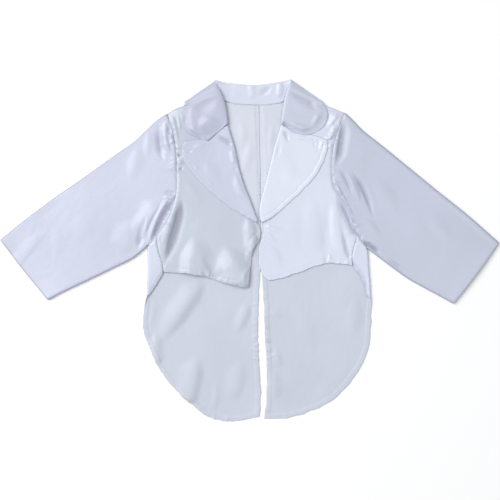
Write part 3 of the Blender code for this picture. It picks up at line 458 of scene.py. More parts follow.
# Collar sections from the left front end round the neck to the right front end: the seam at the
# neck, the turned edge, the stand and the fall beside that edge, and the fall's outer edge
COLLAR = table(
    "nx ny nz fx fy fz stand fall ex ey ez",
    (-37.5, 189, 5.2, -32, 189.5, 7.3, 5.4, 9.3, -62, 163, 7.4),
    (-41, 199, 5.2, -33, 199.5, 7.2, 5.4, 9.2, -93, 175.5, 6.8),
    (-45.5, 208.5, 5.2, -34.5, 210, 7.4, 5.6, 9.4, -99.5, 193, 6.8),
    (-49.5, 218.5, 5.2, -37.5, 223, 7.6, 5.8, 9.6, -98.5, 208.5, 6.8),
    (-51.5, 228, 5.2, -43, 237.5, 7.4, 6, 9.2, -98.5, 214.5, 6.9),
    (-49, 231, 4.8, -48.5, 248, 6.6, 6.4, 7.4, -96.6, 219.8, 6.2),
    (-44.6, 228, 3.8, -50.5, 254.5, 4.6, 6.2, 3.8, -97.4, 221.6, 3.6),
    (-38.8, 225.4, 3, -46, 253.5, 2.8, 5, 0.8, -96, 219.4, 0.7),
    (-29.5, 221.9, 2.4, -37, 251.5, 2.5, 4.6, 0.5, -74, 201.5, 0.5),
    (-14, 219.4, 1.9, -17, 249, 2.5, 4.5, 0.5, -32, 188.5, 0.5),
    (15, 218, 1.9, 6, 247.5, 2.5, 4.5, 0.5, 5, 185, 0.5),
    (33, 219.4, 1.9, 30, 249.5, 2.5, 4.5, 0.5, 42, 188.5, 0.5),
    (47, 221.8, 2.4, 47, 252.5, 2.5, 4.6, 0.5, 84, 200.5, 0.5),
    (54.4, 225.2, 3, 57, 254.5, 2.8, 5, 0.8, 107, 219, 0.7),
    (60.4, 228, 3.8, 62.5, 255.5, 4.6, 6.2, 3.8, 109.6, 222.2, 3.6),
    (64, 231, 4.8, 61, 250, 6.6, 6.4, 7.4, 110, 219.8, 6.2),
    (67, 227, 5.2, 56, 238.5, 7.4, 6, 9.2, 115, 212, 6.9),
    (65, 218, 5.2, 52, 224, 7.6, 5.8, 9.6, 117, 198, 6.8),
    (61, 209, 5.2, 49.5, 210, 7.4, 5.6, 9.4, 107, 181.5, 6.8),
    (57, 200, 5.2, 48, 200, 7.3, 5.4, 9.3, 86, 172.5, 7.4),
    (52.5, 190.5, 5.2, 47, 190, 7.4, 5.4, 9.6, 64, 176.5, 8.6))
COLLAR_SECTIONS = 221
# Places across the collar: 0 at the neck seam, 1 at the turned edge, 2 at the outer edge
COLLAR_KNOTS = np.array((0.0, 0.5, 0.85, 1.0, 1.15, 1.5, 2.0))
COLLAR_PLACES = np.concatenate((
    np.linspace(-0.02, 0.82, 15), np.linspace(0.85, 1.15, 13), np.linspace(1.18, 1.96, 29),
    (1.975, 1.985, 1.993, 1.998, 2.0)))
STAND_TO = 0.98        # place up to which the stand's lighter copy of the satin, painted light, goes
FALL_LEVEL = 5.6       # level from which the fall carries its folds, fully 1 mm higher
LEFT_LEVEL = 4.0       # level above which its left half has a darker copy of the satin, painted shade
COLLAR_SINK_WIDE = 13.0  # width over which its edge sinks on to the fronts
# How far it may sink, how much more low down, from which level on and over what height
COLLAR_SINK = (1.2, 1.4, 212.0, 20.0)
SINK_PLACE = (1.12, 0.35)  # place from which it may sink, and over how much more
TOP_PLACE = (1.1, 0.15)    # place from which it carries its folds, and over how much more
STAND_PLACE = (0.95, 0.15)  # place up to which the stand carries its own
COLLAR_HEM = (5.0, 0.9, 1.5)  # width of its turned edge, more thickness there, and where it ends
STAND_CROWN = 0.3      # rise of the middle of the stand
END_LEAST = 0.2        # distance by which the collar's two ends are less round than its edge
COLLAR_WIDE = 60.0     # width of the cloth from the neck seam to the turned edge, for its grain
NOTHING = -99.0        # level where no piece lies below
ABOVE_ALL = 30.0       # level above all pieces


def line(seam):
    """The x and y columns of a seam as points."""
    return np.stack((seam["x"], seam["y"]), axis=1)


def lengths(points):
    """Distance travelled along the points."""
    return np.concatenate(([0.0], np.cumsum(np.linalg.norm(np.diff(points, axis=0), axis=1))))


def hermite(points, slopes, knots, where):
    """Smooth reading between points with given slopes."""
    cell = np.clip(np.searchsorted(knots, where, side="right") - 1, 0, len(knots) - 2)
    span = (knots[cell + 1] - knots[cell])[:, None]
    t = ((where - knots[cell]) / span[:, 0])[:, None]
    start = (2 * t**3 - 3 * t**2 + 1) * points[cell] + (t**3 - 2 * t**2 + t) * span * slopes[cell]
    end = (3 * t**2 - 2 * t**3) * points[cell + 1] + (t**3 - t**2) * span * slopes[cell + 1]
    return start + end


def smooth(points, knots, where):
    """Smooth curve through the points, which lie at the knots."""
    return hermite(points, np.gradient(points, knots, axis=0), knots, where)


def even(points, step):
    """The same path in even steps."""
    travel = lengths(points)
    stops = np.linspace(0, travel[-1], max(3, int(round(travel[-1] / step)) + 1))
    return np.stack([np.interp(stops, travel, points[:, i]) for i in range(points.shape[1])],
                    axis=1)


def curve(seam, step=EDGE_STEP, ends=()):
    """A seam as even points, with extra ones at the given distances from both ends."""
    points = line(seam)
    knots = lengths(points)
    fine = smooth(points, knots, np.linspace(0, knots[-1], SMOOTH_POINTS))
    travel = lengths(fine)
    total = travel[-1]
    margin = ends[-1] if ends else 0.0
    count = max(2, int(round((total - 2 * margin) / step)) + 1)
    stops = np.linspace(margin, total - margin, count)
    if ends:
        inner = np.array(ends[:-1])
        stops = np.concatenate((inner, stops, total - inner[::-1]))
    return np.stack([np.interp(stops, travel, fine[:, i]) for i in range(2)], axis=1)


def aside(points, distance):
    """The points moved to the left of their direction."""
    direction = np.gradient(points, axis=0)
    direction /= np.linalg.norm(direction, axis=1)[:, None]
    return points + distance * np.stack((-direction[:, 1], direction[:, 0]), axis=1)


def closed(*pieces):
    """One outline from edges that follow each other; ends that nearly meet become one point."""
    outline = [np.array(p, dtype=float) for p in pieces]
    for i, piece in enumerate(outline):
        after = outline[(i + 1) % len(outline)]
        if np.linalg.norm(piece[-1] - after[0]) < LAYER:
            middle = (piece[-1] + after[0]) / 2
            after[0] = middle
            outline[i] = piece[:-1]
    return np.concatenate(outline)


def nearest(points, path):
    """Distance from each point to a path, how far along it, and on which side, left above 0."""
    start, span = path[:-1], np.diff(path, axis=0)
    size = np.maximum((span * span).sum(1), 1e-9)
    travel = lengths(path)
    gap, along, side = np.empty((3, len(points)))
    for low in range(0, len(points), BLOCK):
        part = slice(low, low + BLOCK)
        rel = points[part][:, None, :] - start[None]
        t = np.clip((rel * span).sum(2) / size, 0, 1)
        away = rel - t[..., None] * span
        far = np.hypot(away[..., 0], away[..., 1])
        best = far.argmin(axis=1)
        pick = (np.arange(len(best)), best)
        gap[part] = far[pick]
        along[part] = travel[best] + t[pick] * np.sqrt(size[best])
        off = rel[pick]
        side[part] = np.sign(span[best, 0] * off[:, 1] - span[best, 1] * off[:, 0])
    return gap, along, side


def inside(points, outline):
    """Whether each point lies inside an outline."""
    a, b = outline, np.roll(outline, -1, axis=0)
    rise = np.where(b[:, 1] == a[:, 1], 1e-9, b[:, 1] - a[:, 1])
    slope = (b[:, 0] - a[:, 0]) / rise
    found = np.empty(len(points), dtype=bool)
    for low in range(0, len(points), BLOCK):
        x, y = points[low:low + BLOCK, 0:1], points[low:low + BLOCK, 1:2]
        straddle = (a[:, 1] > y) != (b[:, 1] > y)
        crossing = straddle & (x < a[:, 0] + slope * (y - a[:, 1]))
        found[low:low + BLOCK] = crossing.sum(axis=1) % 2 == 1
    return found


def ease(t):
    """Soft step from nought to one."""
    t = np.clip(t, 0, 1)
    return t * t * (3 - 2 * t)


def ringed(outline):
    """An outline that ends where it starts."""
    return np.vstack((outline, outline[:1]))


def inset(path, distance, outline):
    """The path moved into the panel, without the stretch where it would meet its neighbours."""
    middle = len(path) // 2
    probe = aside(path, 0.5)[middle:middle + 1]
    sign = 1 if inside(probe, outline)[0] else -1
    moved = aside(path, sign * distance)
    clear = nearest(moved, ringed(outline))[0] > INSET_CLEAR * distance
    return moved[inside(moved, outline) & clear]


def split_again(flat, cells):
    """Each very thin triangle and its neighbour, split along their other diagonal."""
    owner = {(int(cell[i]), int(cell[i - 2])): index
             for index, cell in enumerate(cells) for i in range(3)}
    corner = flat[cells]
    side = np.linalg.norm(np.roll(corner, -1, axis=1) - corner, axis=2)
    one, two = corner[:, 1] - corner[:, 0], corner[:, 2] - corner[:, 0]
    area = np.abs(one[:, 0] * two[:, 1] - one[:, 1] * two[:, 0])
    for index in np.flatnonzero(area < THIN_CELL * side.max(axis=1)):
        first = side[index].argmax()
        a, b, c = (int(cells[index][(first + i) % 3]) for i in range(3))
        other = owner.get((b, a))
        if owner.get((a, b)) != index or other is None:
            continue
        d = next(int(i) for i in cells[other] if i not in (a, b))
        if (c, d) in owner or (d, c) in owner:
            continue
        cells[index], cells[other] = (a, d, c), (d, b, c)
        del owner[(a, b)], owner[(b, a)]
        for edge in ((a, d), (d, c), (c, a)):
            owner[edge] = index
        for edge in ((d, b), (b, c), (c, d)):
            owner[edge] = other
    return cells


def search_tree(points):
    """A tree that finds the nearest of the points."""
    tree = KDTree(len(points))
    for index, p in enumerate(points):
        tree.insert((p[0], p[1], 0), index)
    tree.balance()
    return tree


def numbered_anew(cells, count):
    """Which of the points the triangles use, and the triangles over those points alone."""
    used = np.unique(cells)
    renumber = np.zeros(count, dtype=int)
    renumber[used] = np.arange(len(used))
    return used, renumber[cells]


def lattice(outline, busy):
    """Points of a lattice inside an outline, and whether each is on one of the busy bands."""
    low, high = outline.min(axis=0), outline.max(axis=0)
    i, j = np.meshgrid(np.arange(int((high[0] - low[0]) / FINE) + 1),
                       np.arange(int((high[1] - low[1]) / FINE / LATTICE_ROW) + 1))
    points = np.stack(
        (low[0] + FINE * (i + (j % 2) / 2), low[1] + FINE * LATTICE_ROW * j), axis=-1)
    sparse = (j % 2 == 0) & ((i + j // 2) % 2 == 0)
    points, sparse = points.reshape(-1, 2), sparse.ravel()
    near = np.zeros(len(points), dtype=bool)
    for path, reach in busy:
        near |= nearest(points, path[::2] if len(path) > 8 else path)[0] < reach
    keep = (near | sparse) & inside(points, outline)
    return points[keep], near[keep]


def cut_cloth(outline, rows=(), busy=()):
    """Triangles inside an outline: given rows, then a lattice that is fine along busy paths."""
    ring = ringed(outline)
    points = [tuple(p) for p in outline]
    edges = [(i, (i + 1) % len(outline)) for i in range(len(outline))]
    for row in rows:
        keep = inside(row, outline) & (nearest(row, ring)[0] > ROW_CLEAR)
        last = None
        for p, ok in zip(row, keep):
            if not ok:
                last = None
                continue
            points.append(tuple(p))
            if last is not None and np.hypot(*(p - points[last])) < ROW_BREAK:
                edges.append((last, len(points) - 1))
            last = len(points) - 1
    tree = search_tree(points)
    for p, fine in zip(*lattice(outline, busy)):
        if tree.find((p[0], p[1], 0))[2] > (CLEAR_FINE if fine else CLEAR_WIDE) * FINE:
            points.append(tuple(p))
    result = delaunay_2d_cdt([Vector(p) for p in points], edges, [], 1, 1e-5)
    flat = np.array([tuple(v) for v in result[0]])
    cells = np.array([tuple(f) for f in result[2]])
    cells = cells[inside(flat[cells].mean(axis=1), outline)]
    one, two = flat[cells[:, 1]] - flat[cells[:, 0]], flat[cells[:, 2]] - flat[cells[:, 0]]
    turn = one[:, 0] * two[:, 1] - one[:, 1] * two[:, 0]
    cells[turn < 0] = cells[turn < 0][:, ::-1]
    used, cells = numbered_anew(split_again(flat, cells), len(flat))
    return flat[used], cells


def crease_path(row):
    """Points along the curve through a crease's three points."""
    start, middle, end = (np.array(row[k:k + 2]) for k in (0, 2, 4))
    control = 2 * middle - (start + end) / 2
    t = np.linspace(0, 1, CREASE_POINTS)[:, None]
    return (1 - t) ** 2 * start + 2 * t * (1 - t) * control + t**2 * end


def creases(flat, rows):
    """Height that the creases add at each point."""
    total = np.zeros(len(flat))
    for row in zip(*rows.values()):
        left, right, rise, start, end = row[6:]
        path = crease_path(row)
        reach = max(left, right)
        near = ((flat > path.min(axis=0) - reach) & (flat < path.max(axis=0) + reach)).all(axis=1)
        if not near.any():
            continue
        gap, along, side = nearest(flat[near], path)
        share = along / lengths(path)[-1]
        grown = ease(share / start) * ease((1 - share) / end)
        half = np.where(side > 0, left, right) * (CREASE_TIP + (1 - CREASE_TIP) * grown)
        total[near] += rise * grown * np.clip(1 - (gap / half) ** 2, 0, 1) ** 2
    return total


def sharp_creases(rows):
    """Paths of the narrow creases, which need fine cloth."""
    return [(crease_path(row), max(row[6:8]) + FINE)
            for row in zip(*rows.values()) if min(row[6:8]) < NARROW]


def puckers(flat, path, edge, seed=0):
    """Short uneven gathers that run square to a seam and die out in the cloth."""
    pitch, rise, reach, more = GATHERS[edge]
    spread = GATHER_SPREAD
    draw = np.random.default_rng(seed + more)
    total = np.zeros(len(flat))
    gap, along, _ = nearest(flat, path)
    near = gap < spread["reach"][1] * reach
    gap, along = gap[near], along[near]
    at, end = 0.0, lengths(path)[-1]
    while at < end:
        at += pitch * draw.uniform(*spread["pitch"])
        half = pitch * draw.uniform(*spread["half"])
        high = rise * draw.uniform(*spread["rise"]) * draw.choice(spread["way"])
        far = reach * draw.uniform(*spread["reach"])
        lean = draw.uniform(*spread["lean"])
        shape = np.clip(1 - ((along - at - lean * gap) / half) ** 2, 0, 1) ** 2
        total[near] += high * shape * np.clip(1 - gap / far, 0, 1) ** GATHER_FADE
    return total * gathered(flat)


def gathered(flat):
    """How strongly the cloth is gathered at each point, by the nearest of the marked places."""
    strength = np.full(len(flat), GATHER_PLAIN)
    for x, y, reach in zip(*GATHERED.values()):
        strength += GATHER_MORE * np.exp(-(((flat - (x, y)) / reach) ** 2).sum(axis=1))
    return strength


def free_edge(half, name, run=1):
    """A free edge that isn't quite even, with both ends in place."""
    size, more = FREE_EDGES[name]
    path = curve(half[name])[::run]
    draw = np.random.default_rng(half["seed"] + more)
    travel = lengths(path)
    shift = sum(np.sin(2 * np.pi * travel / draw.uniform(*EDGE_WAVE) + draw.uniform(0, 6))
                for _ in range(EDGE_WAVES))
    calm = ease(np.minimum(travel, travel[-1] - travel) / EDGE_CALM)
    return aside(path, (size * shift * calm / EDGE_WAVE_SUM)[:, None])


def drift(flat, piece, seed=0):
    """Broad shallow unevenness of cloth that lies loose."""
    size, wave, more = DRIFTS[piece]
    draw = np.random.default_rng(seed + more)
    total = np.zeros(len(flat))
    far, often = DRIFT_BEND
    bent = flat + far * wave * np.sin(flat[:, ::-1] / wave * often + draw.uniform(0, 6, 2))
    for _ in range(DRIFT_WAVES):
        angle = draw.uniform(0, 2 * np.pi)
        run = bent @ np.array((np.cos(angle), np.sin(angle)))
        length = wave * draw.uniform(*DRIFT_SPREAD)
        total += np.sin(2 * np.pi * run / length + draw.uniform(0, 6))
    return size * total / DRIFT_SUM


def groove(flat, path):
    """Depth of the groove along a line of stitches."""
    deep, half = GROOVE
    return -deep * np.exp(-((nearest(flat, path)[0] / half) ** 2))


def rounded(gap):
    """Share of the full thickness beside a round edge."""
    share = 1 - (1 - np.clip(gap / EDGE_ROUND, 0, 1)) ** 2
    return np.maximum(np.sqrt(share), EDGE_LEAST)


def turned_in(gap, wide=HEM_WIDE):
    """Share of a hem's full thickness at a distance from the edge."""
    return 1 - ease((gap - wide) / HEM_STEP)


def drooped(gap, sink):
    """How far an edge sinks at a distance from it."""
    return sink * (1 - ease(gap / DROOP_WIDE))


def normals(points, cells):
    """Mean normal at each point."""
    corner = points[cells]
    face = np.cross(corner[:, 1] - corner[:, 0], corner[:, 2] - corner[:, 0])
    face /= np.maximum(np.linalg.norm(face, axis=1), 1e-9)[:, None]
    total = np.zeros_like(points)
    for i in range(3):
        one = corner[:, (i + 1) % 3] - corner[:, i]
        two = corner[:, (i + 2) % 3] - corner[:, i]
        cosine = (one * two).sum(1) / np.maximum(
            np.linalg.norm(one, axis=1) * np.linalg.norm(two, axis=1), 1e-9)
        np.add.at(total, cells[:, i], face * np.arccos(np.clip(cosine, -1, 1))[:, None])
    return total / np.maximum(np.linalg.norm(total, axis=1), 1e-9)[:, None]


def new_piece(name, points, faces, finishes):
    """A smooth piece of the coat from points in millimetres."""
    mesh = bpy.data.meshes.new(name)
    mesh.from_pydata((points * MM).tolist(), [], faces)
    mesh.polygons.foreach_set("use_smooth", [True] * len(mesh.polygons))
    for finish in finishes:
        mesh.materials.append(finish)
    mesh.update()
    piece = bpy.data.objects.new(name, mesh)
    bpy.context.collection.objects.link(piece)
    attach(piece, "root")
    return piece


def sew(name, middle, cells, above, below, cloth, painted_shade, satins, finish=None):
    """One piece of cloth: a closed thin shell, with a satin for each of its two sides."""
    out = normals(middle, cells)
    count = len(middle)
    directed = np.concatenate((cells[:, (0, 1)], cells[:, (1, 2)], cells[:, (2, 0)]))
    known = {(int(a), int(b)) for a, b in directed}
    rim = sorted(edge for edge in known if edge[::-1] not in known)
    upper = [tuple(int(i) for i in c) for c in cells]
    lower = [tuple(int(i) + count for i in c[::-1]) for c in cells]
    edge = []
    for a, b in rim:
        edge += [(b, a, a + count), (b, a + count, b + count)]
    points = np.concatenate((middle + out * above[:, None], middle - out * below[:, None]))
    points[:, 2] = np.maximum(points[:, 2], 0.0)
    piece = new_piece(name, points, upper + lower + edge, satins)
    mesh = piece.data
    top = [0] * len(upper) if finish is None else list(finish)
    side = top + [1] * len(lower) + [0] * len(edge)
    mesh.polygons.foreach_set("material_index", side)
    grain = mesh.uv_layers.new(name="grain")
    corners = np.empty(len(mesh.loops), dtype=np.int32)
    mesh.loops.foreach_get("vertex_index", corners)
    grain.data.foreach_set("uv", (cloth[corners % count] * MM).ravel())
    # Painted shade of folds and edges, by which the satins darken
    shade = mesh.attributes.new("painted_shade", "FLOAT", "POINT")
    shade.data.foreach_set("value", np.tile(painted_shade, 2).astype(np.float32))
    mesh.update()
    return piece


def hinge_at(hinge, y):
    """Place of a turning line at each level."""
    order = np.argsort(hinge[:, 1])
    return np.interp(y, hinge[order, 1], hinge[order, 0])


def beyond(points, hinge, side):
    """How far points lie beyond a turning line, towards that side."""
    return side * (points[:, 0] - hinge_at(hinge, points[:, 1]))


def opened(points, hinge, side):
    """Where points of the turned layer lie before the cloth is turned at the line."""
    x = hinge_at(hinge, points[:, 1])
    back = side * (x - points[:, 0])
    return np.stack((x + side * (np.pi * BEND + back), points[:, 1]), axis=1)


def turned(flat, hinge, side, rise, height):
    """Cloth beyond the line bends round and lies back, over itself or under itself."""
    x = hinge_at(hinge, flat[:, 1])
    reach = side * (flat[:, 0] - x)
    angle = np.clip(reach / BEND, 0, np.pi)
    back = np.maximum(reach - np.pi * BEND, 0)
    placed = np.where(reach > 0, x + side * (BEND * np.sin(angle) - back), flat[:, 0])
    base = height(np.stack((np.where(reach > 0, x, flat[:, 0]), flat[:, 1]), axis=1))
    return np.stack((placed, flat[:, 1], base + rise * BEND * (1 - np.cos(angle))), axis=1)


def bend_rows(hinge, side):
    """Rows of points that give the bend its round shape."""
    low, high = hinge[:, 1].min(), hinge[:, 1].max()
    ys = np.linspace(low, high, int((high - low) / EDGE_STEP))
    x = hinge_at(hinge, ys)
    return [np.stack((x + side * t * np.pi * BEND, ys), axis=1)
            for t in np.linspace(0, 1, BEND_ROWS)]


def back_rest(flat):
    """The back lies on the surface, and on the collar's fall near the neck."""
    fall = curve(FALL_UNDER, FALL_STEP)
    low = np.interp(flat[:, 0], fall[:, 0], fall[:, 1])
    above = flat[:, 1] > low
    near, far = FALL_SLOPE
    gap = nearest(flat, fall)[0]
    return FLAT + LAYER * np.where(above, 1.0, ease((far - gap) / (far - near)))


def back_height(flat, half):
    """The back with its folds, without its turned side."""
    loose = creases(flat, half["tail_folds"]) + drift(flat, "back", half["seed"])
    lift = LOW + SATIN / 2 - FLAT
    soft = np.where(loose < 0, lift * (1 - np.exp(-loose / lift)), loose)
    return back_rest(flat) + soft


def front_height(flat, half):
    """The front lies on the back, rises to its seams and carries its own folds."""
    rest = back_rest(flat) + LAYER
    beneath = back_height(flat, half) + SATIN + AIR
    armhole, side, shoulder = (curve(half[k], COARSE) for k in ("armhole", "side", "shoulder"))
    seams = np.minimum(nearest(flat, armhole)[0], nearest(flat, side)[0])
    top = nearest(flat, shoulder)[0]
    near = np.exp(-((seams / SEAM_RISE) ** 2)) * ease((top - 1) / SHOULDER_DROP)
    puff = PUFF * (1 - near) * ease(seams / PUFF_REACH) * ease(FLAT + 2 * LAYER - rest)
    raised = rest + np.maximum(OVER - rest, 0) * near + puff
    loose = drift(flat, "front", half["seed"]) * ease(top / SHOULDER_CALM)
    held = ease(top / SHOULDER_DROP) * ease((seams + SEAM_GIVE) / SEAM_HOLD)
    raised += held * creases(flat, half["front_folds"]) + loose
    return np.maximum(raised, beneath)


def seam_dip(flat, path, depth=SEAM_DIP):
    """Valley along a seam."""
    return -depth * (1 - ease(nearest(flat, path)[0] / SEAM_DIP_WIDE))


def painted_shade_of(change):
    """Painted shade at each point, from nought to one, by how deep in a fold it lies."""
    start, more = PAINTED_SHADE_DEPTHS
    return ease((-change - start) / more)


def lay(piece, name, runs=()):
    """The piece stands for a node, whose part is hidden, and has its stitches."""
    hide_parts(name)
    threads = [stitches("stitches_" + name, runs)] if runs else []
    return piece


def back_pattern(half, hinge):
    """Outline of a half of the back, opened flat, and its side, cutaway, hem and vent edges."""
    sign = half["sign"]
    neck = curve(NECK_BACK)
    centre = line(CENTRE_BACK)[0]
    neck = neck[neck[:, 0] < centre[0]] if sign < 0 else neck[neck[:, 0] > centre[0]][::-1]
    hole = curve(half["armhole"])
    past = beyond(hole, hinge, sign)
    across, up = NOTCH_CLEAR
    low = hole[(past < -across) & (hole[:, 1] > hole[-1, 1] + up)]
    notch_y = hole[-1, 1] + NOTCH_RISE
    x = hinge_at(hinge, np.array([notch_y]))[0]
    notch = np.array([(x + sign * t * np.pi * BEND, notch_y - NOTCH * np.sin(t * np.pi))
                      for t in np.linspace(0, 1, NOTCH_POINTS)])
    across, up, down = SIDE_CLEAR
    top = (hole[:, 1] < half["side"]["y"][0] - down) & (hole[:, 1] > notch_y + up)
    top &= past < -across
    side = opened(np.concatenate((hole[top][::-1], curve(half["side"]))), hinge, sign)
    cutaway = opened(curve(half["cutaway"]), hinge, sign)
    start, end = half["tail"]["y"][0], half["cutaway"]["y"][-1]
    ys = np.linspace(end, start, CROSSING_POINTS)[1:-1]
    share = (ys - start) / (end - start)
    crossing = np.stack((hinge_at(hinge, ys) + sign * share * np.pi * BEND, ys), axis=1)
    tail, vent = free_edge(half, "tail"), free_edge(half, "vent", -1)
    outline = closed(
        np.vstack((centre, neck[::-1])), curve(half["shoulder"]), low, notch, side, cutaway,
        crossing, tail, vent, curve(CENTRE_BACK)[::-1])
    return outline, side, cutaway, np.concatenate((cutaway, crossing, tail)), vent


def back(half):
    """One half of the back with its tail; its side turns over to the side seam."""
    sign, seed, name = half["sign"], half["seed"], "back_" + half["name"]
    hinge = curve(half["fold"], COARSE)
    outline, side, cutaway, hem, vent = back_pattern(half, hinge)
    strip = curve(half["allowance"])
    stitched = [inset(edge, HEM_WIDE, outline) for edge in (hem, vent)] + [strip]
    rows = bend_rows(hinge, sign)
    rows += [inset(edge, d, outline) for edge in (hem, vent) for d in EDGE_ROWS]
    rows += [aside(path, d) for path in stitched for d in STITCH_ROWS]
    busy = [(hem, BUSY), (vent, BUSY), (side, BUSY), (strip, BANDS["allowance"])]
    flat, cells = cut_cloth(outline, rows, busy + sharp_creases(half["tail_folds"]))
    reach = beyond(flat, hinge, sign)
    lying = ease(-reach / FOLD_FADE)
    over = ease((reach - np.pi * BEND) / OVER_GROWS)
    placed = turned(flat, hinge, sign, 1, back_rest)
    edge_gap = np.minimum(nearest(flat, hem)[0], nearest(flat, vent)[0])
    gathers = puckers(flat, hem, "tail_hem", seed)
    gathers += puckers(flat, vent, "vent", seed)
    change = (back_height(flat, half) - back_rest(flat)) * lying
    change += np.maximum(gathers, GATHER_LEAST) * (lying + over)
    change += seam_dip(flat, side, SIDE_DIP) * over
    change += puckers(flat, side, "back_side", seed) * over
    change -= CUTAWAY_SINK * over * (1 - ease(nearest(flat, cutaway)[0] / CUTAWAY_WIDE))
    strip_gap, _, strip_side = nearest(flat, strip)
    inner = np.where(strip_side * sign > 0, strip_gap, -strip_gap)
    low, high = ALLOWANCE_ENDS
    allowance = ease((inner + 0.5) / HEM_STEP) * (flat[:, 1] > low) * (flat[:, 1] < high)
    folded = turned_in(edge_gap)
    thick = HEM_EXTRA * np.maximum(folded * (1 - over), ALLOWANCE_THICK * allowance)
    placed[:, 2] += change + sum(groove(flat, path) for path in stitched) * BACK_GROOVE
    edge = rounded(edge_gap)
    above = (SATIN / 2 + thick) * edge
    below = SATIN / 2 * edge + HEM_EXTRA * folded * over * edge
    # Above that level the inside of the back takes a lighter satin: painted light
    within = flat[cells][:, :, 1].min(axis=1) > INSIDE_PAINTED_LIGHT_FROM
    finish = [2 if is_within else 0 for is_within in within]
    satins = (SATINS["reverse"], SATINS["side"], SATINS["inside"])
    # Painted shade in the back's folds, more of it where it lies flat
    piece = sew(name + "_cloth", placed, cells, above, below, flat,
                painted_shade_of(change - BACK_SHADE * (1 - over)), satins, finish)
    lower, top_side = flat[reach < 0], (placed[:, 2] + above)[reach < 0]
    runs = [thread_run(path[beyond(path, hinge, sign) < -STITCHES_CLEAR], lower, top_side)
            for path in stitched]
    return lay(piece, name, runs)


def front(half):
    """One front, from the shoulder to the waist hem."""
    seed, name = half["seed"], "front_" + half["name"]
    side, shoulder, inner = (curve(half[k]) for k in ("side", "shoulder", "inner"))
    hole = curve(half["armhole"])
    hole = hole[hole[:, 1] > line(half["side"])[0][1] + 1.0]
    closing, hem = free_edge(half, "closing"), free_edge(half, "hem")
    outline = closed(shoulder, hole, side, hem[::-1], closing[::-1], inner[::-1])
    stitched = [inset(hem, HEM_WIDE, outline), inset(closing, HEM_WIDE - 1, outline)]
    free = np.concatenate((closing, hem[1:]))
    seams = np.concatenate((hole, side))
    rows = [inset(free, d, outline) for d in EDGE_ROWS]
    rows += [aside(path, d) for path in stitched for d in STITCH_ROWS]
    rows += [inset(seams, d, outline) for d in SEAM_ROWS]
    busy = [(free, BUSY), (seams, BUSY)] + sharp_creases(half["front_folds"])
    flat, cells = cut_cloth(outline, rows, busy)
    free_gap, seam_gap, top = (nearest(flat, path)[0] for path in (free, seams, shoulder))
    near, wide = CLOSING_CALM
    near_lapel = ease((nearest(flat, inner)[0] - near) / wide)
    folds = creases(flat, half["front_folds"])
    held = ease(seam_gap / SEAM_HOLD)
    gathers = puckers(flat, hole, "front_armhole", seed) * held
    gathers *= 1 - TROUGH_CALM * ease(-folds / TROUGH)
    gathers += puckers(flat, side, "front_side", seed) * held
    gathers += puckers(flat, hem, "front_hem", seed)
    gathers += puckers(flat, closing, "closing", seed) * near_lapel
    sinks, grows, dips = (ease(top / width) for width in SHOULDER_FADE)
    dip = seam_dip(flat, hole) * dips + seam_dip(flat, side, SIDE_DIP)
    droop = drooped(free_gap, HEM_DROOP)
    edge, folded = rounded(free_gap), turned_in(free_gap)
    above = SATIN / 2 * edge + FRONT_EXTRA * folded * edge
    below = (SATIN / 2 + HEM_EXTRA * folded) * edge
    lines = sum(groove(flat, path) for path in stitched)
    height = front_height(flat, half) + gathers * grows + dip - droop + lines
    height -= SHOULDER_SINK * (1 - sinks)
    height = np.maximum(height, back_height(flat, half) + SATIN / 2 + below + AIR)
    # Painted shade in the front's folds, seam valleys, gathers and drooping edges
    shade = painted_shade_of(half["fold_shade"] * folds + dip + gathers - droop)
    piece = sew(name + "_cloth", np.column_stack((flat, height)), cells, above,
                below, flat, shade, (SATINS[name], SATINS["reverse"]))
    runs = [thread_run(path, flat, height + above) for path in stitched]
    return lay(piece, name, runs)


